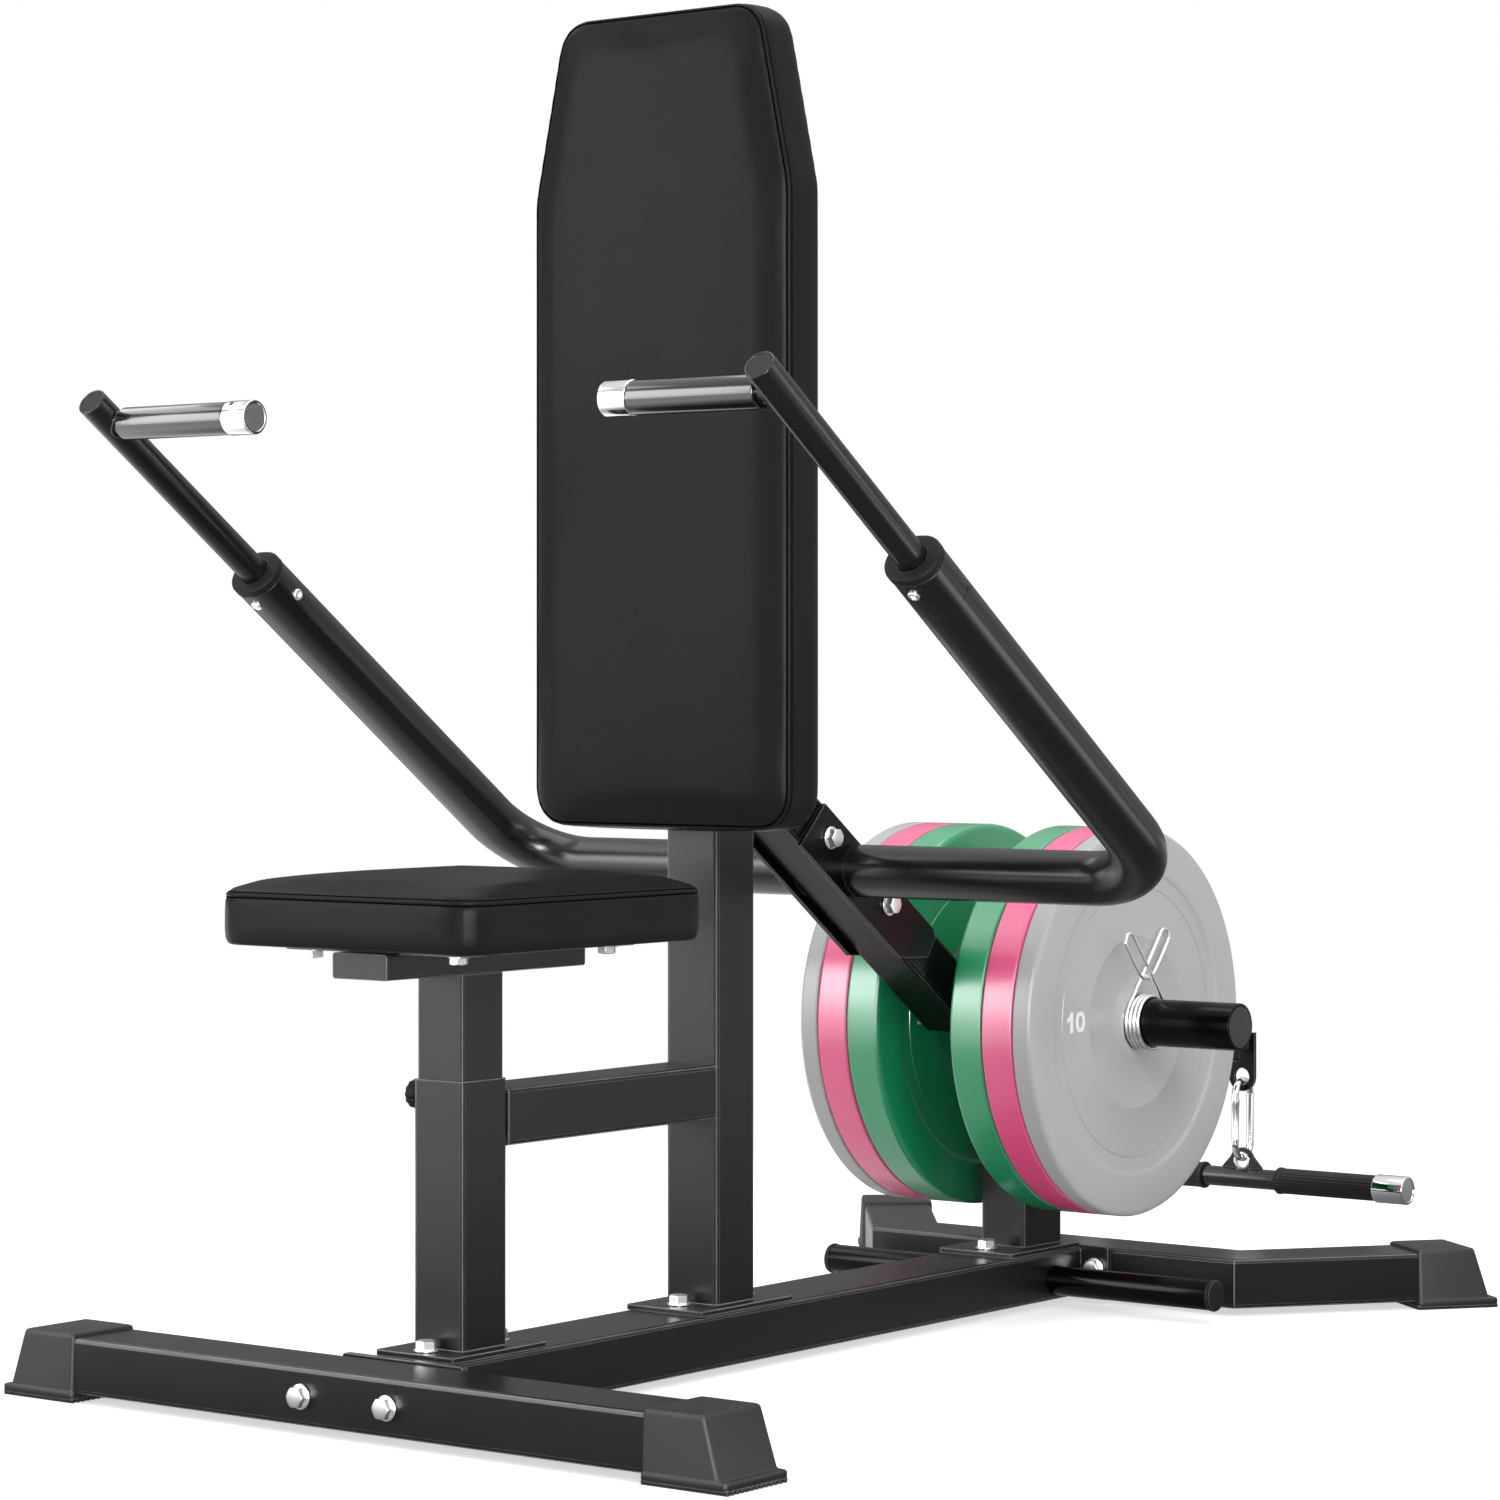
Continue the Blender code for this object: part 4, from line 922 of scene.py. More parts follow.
# A foot's outline at each height: height, inner end, outer end, half width and corner radius
FOOT_LEVELS = (
    (3.4, 1.6, 87.4, 40.2, 4.0),
    (4.0, 0.4, 88.6, 41.4, 5.0),
    (5.0, 0.0, 89.0, 41.7, 5.2),
    (8.4, 0.0, 89.0, 41.7, 5.2),
    (9.4, 0.3, 88.6, 41.4, 5.0),
    (10.2, 0.9, 87.6, 40.8, 4.6),
    (10.6, 1.0, 80.6, 40.4, 4.2),
    (12.2, 1.0, 78.9, 40.2, 4.0),
    (56.5, 1.0, 64.9, 38.5, 3.6),
    (59.4, 1.4, 63.9, 38.1, 3.4),
    (60.9, 2.4, 62.7, 37.2, 3.0),
    (61.6, 4.6, 60.4, 35.2, 2.4),
)
# Ribs under the sole: their number, spacing, ends and section
RIBS, RIB_PITCH, RIB_ENDS = 13, 6.3, (0.6, 88.5)
RIB_SECTION = ((-2.1, 4.2), (2.1, 4.2), (1.6, 0.0), (-1.6, 0.0))


def foot_shape(matrix):
    """A rubber foot on a tube's end: local x runs outwards along the tube."""
    rings = []
    for z, inner, outer, half, r in FOOT_LEVELS:
        middle = (inner + outer) / 2
        ring = rect((outer - inner) / 2, half, r)
        rings.append([matrix @ Vector((u + middle, v, z)) for u, v in ring])
    shapes = [loft(rings)]
    for k in range(RIBS):
        y = (k - (RIBS - 1) / 2) * RIB_PITCH
        rib = [[matrix @ Vector((x, y + v, z)) for v, z in RIB_SECTION] for x in RIB_ENDS]
        shapes.append(loft(rib))
    return join(*shapes)


def build_feet(context):
    """Four rubber feet with ribbed soles, two on the crossbar and two on the rear legs."""
    corner = Vector((LEG_BEND_X - TUBE_HALF * math.tan(LEG_TURN / 2), STABILISER_Y))
    start = corner + Vector((math.cos(LEG_TURN), math.sin(LEG_TURN))) * LEG_LONG
    places = (
        ("front", Matrix.Translation((FOOT_X, TUBE_HALF, 0))),
        ("rear", Matrix.Translation((start.x, start.y, 0)) @ Matrix.Rotation(LEG_TURN, 4, "Z")),
    )
    for side, word in SIDES:
        flip = Matrix.Diagonal((side, 1, 1, 1))
        for name, place in places:
            shape = foot_shape(flip @ place)
            piece(f"foot_{name}_{word}", shape, "foot rubber", "frame", [f"{name}_foot_{word}"], 0.5)


# Fasteners

# Faces that bolt heads sit on, and the middle lines of the bolts in them
FRONT_BOLT, BACK_BOLT, BACK_PLATE_Y = (49.0, 33.2), (62.0, 37.0), 1073.7
BASE_TOP = 63.2
BASE_BOLTS = (("seat", 105.0), ("back", 458.0), ("rest", 966.0))
BOLTS_BEHIND = (("seat", 199.0), ("back", 556.0))
STRAP_Z, STRAP_X, STRAP_YS = 411.4, 83.0, (53.0, 250.0)
SADDLE_X, BRACKET_X = 32.8, 33.4
SADDLE_BOLTS = ((87.6, "front"), (205.2, "rear"))
# Screws in an arm, as distances from its cross part
SCREW_INSIDE, SCREW_BELOW = 462.0, 478.0


def hex_head(axis, at, centre, out, low, high, r, n=72):
    """A hexagon head between two heights over a face, its corners chamfered on top."""
    flat = r * math.cos(math.pi / 6)
    crown = 0.96 * flat
    rings = [[], [], [], []]
    for k in range(n):
        t = 2 * math.pi * k / n
        edge = flat / math.cos(t % (math.pi / 3) - math.pi / 6)
        # foot of the head, its sides' upper edge drawn down at the corners, the crown's rim and its top
        levels = (
            (low, edge), (high - (edge - crown) * 0.62, edge), (high, crown), (high + 0.35, 0.80 * flat)
        )
        for ring, (height, reach) in zip(rings, levels):
            ring.append(along(axis, at + out * height, centre, reach * math.cos(t), reach * math.sin(t)))
    return loft(rings)


def disc(axis, at, centre, out, low, high, r, n=72, broken=0.5):
    """A round slab between two heights over a face, its rims broken."""
    profile = ((low, r - broken), (low + broken, r), (high - broken, r), (high, r - broken))
    return turned(axis, [(at + out * height, reach) for height, reach in profile], centre, n)


def bolt(axis, at, centre, out, shank, r=9.6, head=7.5, washer=11.0, shank_r=5.0, nut=None, grow=0.0):
    """Head, washer and shank, with a nut and washer at the far end where nut gives its distance.

    grow makes the head and washer larger, where they cover a bolt that is part of another solid.
    """
    shapes = [
        disc(axis, at, centre, out, 0.3 - grow, 2.2, washer + grow),
        hex_head(axis, at, centre, out, 2.2, 2.2 + head + grow, r + grow),
        disc(axis, at, centre, -out, 0.0, shank, shank_r, 32),
    ]
    if nut is not None:
        shapes.append(disc(axis, at, centre, -out, nut, nut + 1.8, washer))
        shapes.append(hex_head(axis, at, centre, -out, nut + 1.8, nut + 7.0, r))
        shapes.append(disc(axis, at, centre, -out, nut + 6.0, shank, shank_r, 32))
    return join(*shapes)


def screw_head(at, out, up, r=5.4, high=2.6, n=48):
    """A round screw head with a socket."""
    side = out.cross(up).normalized()
    up = side.cross(out).normalized()
    profile = (
        (-1.0, r), (high * 0.55, r), (high * 0.9, r - 0.7), (high, r - 1.6), (high, 2.6), (high - 1.9, 2.4)
    )
    return loft([[at + out * h + side * u + up * v for u, v in circle(reach, n)] for h, reach in profile])


def build_fasteners(context):
    """Chrome hexagon bolts with washers, and the screws in the arms."""
    for side, word in SIDES:
        shape = bolt("y", 0.0, (side * FRONT_BOLT[0], FRONT_BOLT[1]), -1, 79.4)
        piece(f"front_bolt_{word}", shape, "zinc plate", "frame", [f"crossbar_bolt_{word}"], sharp=28)
        shape = bolt("y", BACK_PLATE_Y, (side * BACK_BOLT[0], BACK_BOLT[1]), -1, 15.0)
        piece(f"back_bolt_{word}", shape, "zinc plate", "frame", [f"rear_bolt_{word}"], sharp=28)
    for name, y in BASE_BOLTS:
        shape = bolt("z", BASE_TOP, (0.0, y), 1, 14.0)
        piece(f"{name}_post_bolt", shape, "zinc plate", "frame", [f"{name}_base_bolt"], sharp=28)
    for name, y in BOLTS_BEHIND:
        shape = bolt("z", BASE_TOP - 1.0, (0.0, y), 1, 0.0, grow=0.35)
        piece(f"{name}_post_bolt_behind", shape, "zinc plate", "frame", sharp=28)
    straps = [
        bolt("z", STRAP_Z, (side * STRAP_X, y), -1, 0.0, r=8.0, head=5.5, washer=9.5, shank_r=4.0, grow=0.3)
        for side, _ in SIDES
        for y in STRAP_YS
    ]
    piece("strap_bolts", join(*straps), "zinc plate", "seat", sharp=28)
    for s, word in SADDLE_BOLTS:
        shape = bolt("x", SADDLE_X, lever_point(s), 1, 74.6, nut=65.9)
        piece(f"saddle_fastener_{word}", shape, "zinc plate", "lever", [f"saddle_bolt_{word}"], sharp=28)
    shape = bolt("x", BRACKET_X, PIVOT, 1, 79.0, r=11.5, head=8.5, washer=14.0, shank_r=6.0, nut=67.1)
    piece("pivot_fastener", shape, "zinc plate", "frame", ["pivot_bolt"], sharp=28)
    down = (Vector(arm_point(0, 0, -1)) - Vector(arm_point(0, 0))).normalized()
    for side, word in SIDES:
        inside = Vector(arm_point(side * (ARM_X - ARM_WIDE), SCREW_INSIDE))
        below = Vector(arm_point(side * ARM_X, SCREW_BELOW, -ARM_THICK))
        shape = join(
            screw_head(inside, Vector((-side, 0, 0)), Vector((0, 0, 1))),
            screw_head(below, down, Vector((1, 0, 0))),
        )
        piece(f"arm_screws_{word}", shape, "zinc plate", "lever", sharp=28)


# Arms, handles and horns


def arm_rings(section, steps=20):
    """Rings of a section along the arms, from the right arm's end round to the left arm's end."""
    stations = [((ARM_X, ARM_LENGTH), (1.0, 0.0))]
    for k in range(steps + 1):
        t = math.pi / 2 * k / steps
        out = (math.cos(t), -math.sin(t))
        at = (ARM_X - ARM_BEND + ARM_BEND * out[0], ARM_BEND + ARM_BEND * out[1])
        stations.append((at, out))
    stations += [((-x, a), (-u, v)) for (x, a), (u, v) in reversed(stations)]
    return [
        [arm_point(x + ox * u, a + oa * u, v) for u, v in section] for (x, a), (ox, oa) in stations
    ]


def arm_cap():
    """The right arm's end cap, with a bore for the handle rod."""
    # distance past the arm's end, and growth over the tube's section
    skin = (
        (-25.0, -2.9), (0.3, -2.9), (0.3, 0.1), (0.7, 0.5), (7.0, 0.5), (8.2, 0.1), (8.8, -0.7), (9.0, -2.0)
    )
    # distance past the arm's end, and share of the bore's radius
    bore = ((9.0, 1.04), (7.8, 1.0), (-25.0, 1.0))
    sections = [(out, oval(ARM_WIDE + grow, ARM_THICK + grow, ARM_POINTS)) for out, grow in skin]
    sections += [(out, circle(share * CAP_BORE, ARM_POINTS, 0.5)) for out, share in bore]
    rings = [[arm_point(ARM_X + u, ARM_LENGTH + out, v) for u, v in ring] for out, ring in sections]
    return loft(rings, closed=True)


def build_arms(context):
    """The bent arm tube, its end caps and the slots near them."""
    outer = oval(ARM_WIDE, ARM_THICK, ARM_POINTS)
    inner = oval(ARM_WIDE - ARM_WALL, ARM_THICK - ARM_WALL, ARM_POINTS)
    shape = loft(arm_rings(outer) + arm_rings(inner)[::-1], closed=True)
    piece("arm_bow", shape, "arm enamel", "lever", ["arm_tube"])
    for side, word in SIDES:
        piece(f"arm_end_{word}", mirrored(arm_cap(), side), "cap plastic", "lever", [f"arm_cap_{word}"])
        # each slot is a thin dark block on the arm's side, painted shade where the opening is
        slot = [
            [arm_point(side * (ARM_X + ARM_WIDE + out), 446.0 + u, 2.0 + v) for u, v in rect(1.6, 7.0, 1.5)]
            for out in (-1.0, 0.35)
        ]
        piece(f"arm_slot_{word}", loft(slot), "dark gap", "lever")


def rod_rings(profile):
    """Rings about the right handle rod, from (distance along the arm, radius) pairs."""
    return [[arm_point(ARM_X + u, a, v) for u, v in circle(r, ROD_POINTS)] for a, r in profile]


def weld_bead(centre):
    """The bead of weld where the right cross bar runs into the round face of its rod."""
    forward = Vector((-math.cos(PITCH), math.sin(PITCH)))
    upward = Vector((math.sin(PITCH), math.cos(PITCH)))
    path = []
    for c, s in circle(BAR_R + 0.6, 96):
        x = ARM_X - math.sqrt(ROD_R**2 - c**2 + 0.01)
        path.append((x, *(Vector(centre) + forward * s + upward * c)))
    return wire(path, 1.5, 10, True)


def build_handles(context):
    """Two telescoping rods, each with a cross bar, a glossy grip, a chrome collar and its end disc."""
    centre = arm_point(ARM_X, BAR_AT)[1:]
    tube = rod_rings(
        [
            (ROD_START, ROD_R), (ROD_TIP - 1.2, ROD_R), (ROD_TIP - 0.3, ROD_R - 0.3),
            (ROD_TIP, ROD_R - 1.0), (ROD_TIP, ROD_R - 2.0), (ROD_TIP - 0.8, ROD_R - 2.1),
        ]
    )
    plug = rod_rings(
        [(ROD_TIP - 3.0, ROD_R - 2.2), (ROD_TIP - 0.5, ROD_R - 2.2), (ROD_TIP - 0.2, ROD_R - 2.6)]
    )
    bar = turned("x", [(COLLAR_END + 8.0, BAR_R), (ARM_X, BAR_R)], centre, ROD_POINTS)
    rod = join(loft(tube), bar, weld_bead(centre))
    sleeve = rounded(
        [(GRIP_IN, GRIP_BORE), (GRIP_IN, GRIP_R), (GRIP_OUT, GRIP_R), (GRIP_OUT, GRIP_BORE)], (1, 2), 1.4
    )
    ring = rounded(
        [
            (COLLAR_END + 1.6, 12.6), (COLLAR_END, 12.6), (COLLAR_END, COLLAR_R), (GRIP_IN - 0.3, COLLAR_R),
            (GRIP_IN - 0.3, GRIP_BORE), (COLLAR_END + 7.0, GRIP_BORE), (COLLAR_END + 7.0, 12.6),
        ],
        (1, 2, 3),
        1.2,
    )
    face = [(COLLAR_END + into, r) for into, r in ((5.0, 12.5), (1.1, 12.5), (0.6, 12.0), (0.5, 0.4))]
    for side, word in SIDES:
        body = f"handle_{word}"
        piece(f"rod_{word}", mirrored(rod, side), "arm enamel", body, [f"handle_rod_{word}"])
        piece(f"rod_plug_{word}", mirrored(loft(plug), side), "rod plug", body)
        shape = mirrored(turned("x", sleeve, centre, 72, True), side)
        piece(f"hand_grip_{word}", shape, "grip gloss", body, [f"grip_{word}"])
        shape = mirrored(turned("x", ring, centre, 72, True), side)
        piece(f"grip_ring_{word}", shape, "chrome", body, [f"grip_collar_{word}"])
        piece(f"grip_disc_{word}", mirrored(turned("x", face, centre, 72), side), "end disc", body)
        t = math.radians(-128.0 * side)
        out = Vector((0, math.cos(t), math.sin(t)))
        at = Vector((side * (GRIP_IN - 9.0), *centre)) + out * 14.4
        # the pin in the collar's hole is painted dark with the same painted shade
        pin = screw_head(at, out, Vector((1, 0, 0)), 1.7, 1.3, 24)
        piece(f"grip_ring_pin_{word}", pin, "dark gap", body)


def build_horns(context):
    """Weight horns with their stop ring and end disc."""
    profile = rounded(
        [
            (HORN_END - 4.0, HORN_BORE), (STOP_IN, HORN_BORE), (STOP_IN, STOP_R - 6.0),
            (STOP_IN + 6.0, STOP_R), (STOP_OUT, STOP_R), (STOP_OUT, HORN_R), (HORN_END - 0.4, HORN_R),
            (HORN_END - 0.4, HORN_BORE),
        ],
        (3, 4, 6),
        1.8,
    )
    face = [
        (HORN_END - 6.0, HORN_BORE - 0.1), (HORN_END - 0.6, HORN_BORE - 0.1),
        (HORN_END - 0.1, HORN_BORE - 0.5), (HORN_END, HORN_BORE - 1.4), (HORN_END, 0.5),
    ]
    for side, word in SIDES:
        shape = mirrored(turned("x", profile, HORN, 96, True), side)
        piece(f"weight_horn_{word}", shape, "horn enamel", "lever", [f"horn_{word}"])
        piece(f"horn_disc_{word}", mirrored(turned("x", face, HORN, 96), side), "horn disc", "lever")


# Weight plates and spring collars


def plate_face(ringed):
    """(depth, radius) pairs across a plate's side, from its bore to its rim."""
    if not ringed:
        rim = [(0.0, PLATE_R - 4.6), (0.35, PLATE_R - 2.2), (1.1, PLATE_R - 0.7), (2.5, PLATE_R)]
        return [(0.0, BORE_R)] + rim
    deep = PLATE_SINK
    hub = [(0.0, BORE_R), (0.0, 37.4), (0.5, 38.6), (2.0, 41.4), (deep, 43.0)]
    bead = [(deep, 86.2), (deep - 0.35, 87.0), (deep - 0.35, 88.2), (deep, 89.0)]
    line = [(deep, 136.4), (deep + 0.6, 136.8), (deep + 0.6, 137.6), (deep, 138.0)]
    step = [(deep, 150.8), (2.3, 151.8), (1.4, 153.2), (0.5, 154.6), (0.1, 155.8), (0.0, 157.4)]
    rim = [(0.0, PLATE_R - 7.0), (0.5, PLATE_R - 3.8), (1.9, PLATE_R - 1.3), (4.4, PLATE_R)]
    return hub + bead + line + step + rim


def squared(half_w, half_h, n=48):
    """An oval that is a little square at its shoulders, as (u, v) points."""
    return [
        (math.copysign(half_w * abs(c) ** 0.8, c), math.copysign(half_h * abs(s) ** 0.8, s))
        for c, s in circle(1.0, n)
    ]


def digit(which, height):
    """A bold digit's outline and its hole, which is None for a 1."""
    half_w, half_h, bold = 0.40 * height, 0.50 * height, 0.26 * height
    if which == "0":
        return squared(half_w, half_h), squared(half_w - bold * 0.86, half_h - bold * 0.8)
    return [
        (-bold * 0.35, -half_h), (bold * 0.65, -half_h), (bold * 0.65, half_h), (-bold * 0.2, half_h),
        (-bold * 0.6, half_h - bold * 0.75), (-bold * 1.35, half_h - bold * 1.1),
        (-bold * 1.35, half_h - bold * 1.95), (-bold * 0.35, half_h - bold * 1.6),
    ], None


def number_shape(x, facing, angle, s):
    """The number 10 on a face at x that looks along facing, at an angle round the horn."""
    turn = math.radians(angle)
    right = Vector((0.0, facing * math.cos(turn), math.sin(turn)))
    up = Vector((facing, 0, 0)).cross(right)
    centre = Vector((x, *HORN)) - right * s.digit_radius + up * 6.0
    low, high = Vector((facing * -0.2, 0, 0)), Vector((facing * 0.35, 0, 0))
    shapes = []
    for which, offset in (("1", -0.46), ("0", 0.36)):
        outline, hole = digit(which, s.digit_height)
        middle = centre + right * (offset * s.digit_height)
        rings = [[middle + right * u + up * v + h for u, v in outline] for h in (low, high)]
        if hole:
            rings += [[middle + right * u + up * v + h for u, v in hole] for h in (high, low)]
        shapes.append(loft(rings, closed=hole is not None))
    return join(*shapes)


def build_plates(context):
    """Six weight plates in three colours, with plain numbers on the faces that show."""
    s = context.scene.dip_plates
    inside, outside = PLATES[0][1], PLATES[-1][2]
    lip = rounded(
        [
            (outside - 2.1, BORE_R + 0.1), (outside + 0.3, BORE_R + 0.1),
            (outside + 0.3, BORE_R + 4.5), (outside - 2.1, BORE_R + 4.5),
        ],
        (1, 2),
        0.4,
    )
    for side, word in SIDES:
        for colour, x0, x1 in PLATES:
            profile = [(x0 + a, r) for a, r in plate_face(colour == "green")]
            profile += [(x1 - a, r) for a, r in reversed(plate_face(colour == "gray"))]
            shape = mirrored(turned("x", profile, HORN, 144, True), side)
            body = f"{colour}_plate_{word}"
            piece(f"disc_{colour}_{word}", shape, f"{colour} rubber", body, [body], sharp=24)
        shape = mirrored(turned("x", lip, HORN, 96, True), side)
        piece(f"bore_ring_{word}", shape, "bore steel", f"gray_plate_{word}")
        faces = (("gray", outside - PLATE_SINK, side), ("green", inside + PLATE_SINK, -side))
        for colour, x, facing in faces:
            shapes = [number_shape(side * x, facing, angle, s) for angle in (0, 180)]
            piece(f"numbers_{colour}_{word}", join(*shapes), "number paint", f"{colour}_plate_{word}")


def collar_path():
    """A coil round the horn, both ends running up to a loop and crossing above it."""
    x0 = PLATES[-1][2] + WIRE_R + 0.3

    def at(x, p):
        """A point at x, and p away from the horn's middle line."""
        return Vector((x, HORN[0] + p[0], HORN[1] + p[1]))

    def handle(x, way):
        """From the coil up to the loop and back, leaning to one side."""
        go = Vector((way * math.sin(HANDLE_LEAN), math.cos(HANDLE_LEAN)))
        out = Vector((way * math.cos(HANDLE_LEAN), -math.sin(HANDLE_LEAN)))
        begin = out * -COIL_R
        tip = begin + go * HANDLE_LONG
        points = [begin + go * d for d in (10.0, 50.0, 88.0)]
        points += [
            tip + go * (LOOP_R * math.sin(t) - LOOP_R) + out * (LOOP_R - LOOP_R * math.cos(t))
            for t in (0.0, math.pi / 4, math.pi / 2, 3 * math.pi / 4, math.pi)
        ]
        low = tip + out * (2 * LOOP_R) - go * LOOP_BACK
        points += [low + go * 8.0, low - out * 2.0 - go * 4.0, low - out * 11.0 - go * 12.0]
        return [at(x, p) for p in points]

    start, end = math.pi - HANDLE_LEAN, 2 * math.pi * (COIL_TURNS + 1) + HANDLE_LEAN
    count = int(24 * (end - start) / (2 * math.pi))
    coil = []
    for k in range(count + 1):
        t = start + (end - start) * k / count
        x = x0 + COIL_PITCH * (t - start) / (2 * math.pi)
        coil.append(at(x, (COIL_R * math.cos(t), COIL_R * math.sin(t))))
    return list(reversed(handle(coil[0].x, 1))) + coil + handle(coil[-1].x, -1)


def build_springs(context):
    """Spring collars of round wire."""
    spring = wire(eased(collar_path(), 3), WIRE_R, 12)
    for side, word in SIDES:
        piece(
            f"spring_{word}", mirrored(spring, side), "spring steel", f"collar_{word}",
            [f"spring_collar_{word}"], sharp=60,
        )


# Tail: carabiner and bar


def build_tail(context):
    """The carabiner with its gate, and the bar with lug, grips and end caps."""
    build_link()
    build_bar()


def build_link():
    """The carabiner: a closed link of round wire, and the sleeve of its gate."""
    low = LINK_TOP - LINK_LONG
    path = []
    for start, z in ((0, LINK_TOP - LINK_BEND), (180, low + LINK_BEND)):
        for k in range(17):
            t = math.radians(start + 180 * k / 16)
            path.append((0.0, EYE_Y + LINK_BEND * math.cos(t), z + LINK_BEND * math.sin(t)))
    shape = wire(path, LINK_WIRE, 20, True)
    piece("carabiner_body", shape, "chrome", "carabiner", ["carabiner"], sharp=60)
    gate = [
        (low + 21.0, 3.0), (low + 21.0, 4.7), (low + 27.0, 4.7), (low + 28.0, 4.35),
        (LINK_TOP - 27.0, 4.35), (LINK_TOP - 26.0, 4.8), (LINK_TOP - 20.0, 4.8), (LINK_TOP - 20.0, 3.0),
    ]
    shape = turned("z", gate, (0.0, EYE_Y - LINK_BEND), 32)
    piece("carabiner_gate", shape, "spring steel", "carabiner")


def build_bar():
    """The pull bar with its lug and eyelet, two ribbed grips and two plated ends."""
    centre = (EYE_Y, BAR_Z)
    hole_z = LINK_TOP - LINK_LONG + LINK_WIRE + LUG_GAP - LUG_HOLE
    tube = rounded([(-190.0, 9.0), (-190.0, BAR_R), (190.0, BAR_R), (190.0, 9.0)], (1, 2), 0.6)
    shape = join(turned("x", tube, centre, 64, True), lug(hole_z))
    piece("pull_bar", shape, "arm enamel", "bar", ["attachment_bar"], sharp=30)
    lip = [(EYE_Y - 2.9, 7.6), (EYE_Y - 2.9, 10.2), (EYE_Y + 2.9, 10.2), (EYE_Y + 2.9, 7.6)]
    shape = turned("y", rounded(lip, (1, 2), 0.8), (0.0, hole_z), 48, True)
    piece("lug_eyelet", shape, "chrome", "bar")
    sleeve = rounded(
        [
            (47.0, GRIP_BORE), (47.0, 15.0), (51.0, 15.0), (52.5, 14.2), (166.0, 14.2), (169.7, 14.2),
            (169.7, GRIP_BORE),
        ],
        (1, 2, 5),
        1.0,
    )
    end = rounded(
        [
            (191.0, GRIP_BORE), (170.0, GRIP_BORE), (170.0, 15.5), (208.0, 15.5), (208.0, 13.0),
            (207.2, 12.6), (207.2, 0.4),
        ],
        (2, 3),
        1.6,
    )
    for side, word in SIDES:
        shape = mirrored(turned("x", sleeve, centre, 192, True, flutes=24, depth=0.5), side)
        piece(f"pull_grip_{word}", shape, "grip rubber", "bar", [f"bar_grip_{word}"])
        shape = mirrored(turned("x", end, centre, 72), side)
        piece(f"pull_end_{word}", shape, "chrome", "bar", [f"bar_end_{word}"])


def lug(hole_z):
    """The flat ear on the bar, ringed from its outline to its hole, so that the hole stays open."""
    ear = [(-27.0, BAR_Z + 10.0), (27.0, BAR_Z + 10.0)]
    arc = [math.radians(t) for t in range(20, 161, 5)]
    ear += [(LUG_R * math.cos(t), hole_z + LUG_R * math.sin(t)) for t in arc]
    outline = even_outline([Vector(p) for p in ear], 72, Vector((0.0, hole_z)))
    hole = [(u, hole_z + v) for u, v in circle(LUG_HOLE, 72)]
    rings = ((outline, -2), (outline, 2), (hole, 2), (hole, -2))
    return loft([[(u, EYE_Y + d, v) for u, v in ring] for ring, d in rings], closed=True)


def even_outline(points, n, centre):
    """n points on a closed outline, each at an even angle about the centre."""
    made = []
    for c, s in circle(1.0, n):
        ray, best = Vector((c, s)), 0.0
        for i, point in enumerate(points):
            a, b = point - centre, points[(i + 1) % len(points)] - centre
            cross = ray.x * (b - a).y - ray.y * (b - a).x
            if abs(cross) < 1e-9:
                continue
            d = (a.x * (b - a).y - a.y * (b - a).x) / cross
            share = (a.x * ray.y - a.y * ray.x) / cross
            if -1e-6 <= share <= 1 + 1e-6:
                best = max(best, d)
        made.append(centre + ray * best)
    return made


def build_knob(context):
    """The fluted pull knob on the seat sleeve and its plated ferrule."""
    # distance to the left of KNOB_X, and radius
    shaft = ((-1.3, 4.7), (12.6, 4.7), (12.6, 7.8), (14.0, 9.0))
    grip = ((13.4, 8.0), (15.0, 13.2), (25.0, 13.2), (28.0, 9.5), (28.0, 0.5))
    shape = turned("x", [(KNOB_X - out, r) for out, r in shaft], KNOB, 48)
    piece("knob_shaft", shape, "chrome", "knob")
    grip = rounded([(KNOB_X - out, r) for out, r in grip], (1, 2, 3), 2.0)
    shape = turned("x", grip, KNOB, 120, flutes=12, depth=0.9)
    piece("knob_grip", shape, "cap plastic", "knob", ["pull_knob"])


# Pads

# Size of the even mesh, and the seam: how deep the welt sinks into the cover, how far and over what width
# the cover is drawn in beside it, and the stitches' offset, sink and radius
VOXEL, SEAM_SINK, SEAM_REACH, SEAM_WIDTH = 4.0, 1.1, 9.0, 3.2
STITCH_ASIDE, STITCH_SINK, THREAD_R = 2.2, 0.6, 0.65


def swollen(node_name, name, context, pinned):
    """The pad's cover: the solid's form, remeshed and blown up by its foam, but held by its board."""
    obj = link_new(name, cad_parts[node_name].data.copy())
    voxel = obj.modifiers.new("Even mesh", "REMESH")
    voxel.mode, voxel.voxel_size = "VOXEL", VOXEL / 1000
    bake(obj)
    relax(obj.data, 2)
    blow_up(obj, context, pinned)
    fine = obj.modifiers.new("Fine", "SUBSURF")
    fine.levels = fine.render_levels = 1
    bake(obj)
    obj.vertex_groups.clear()
    return obj


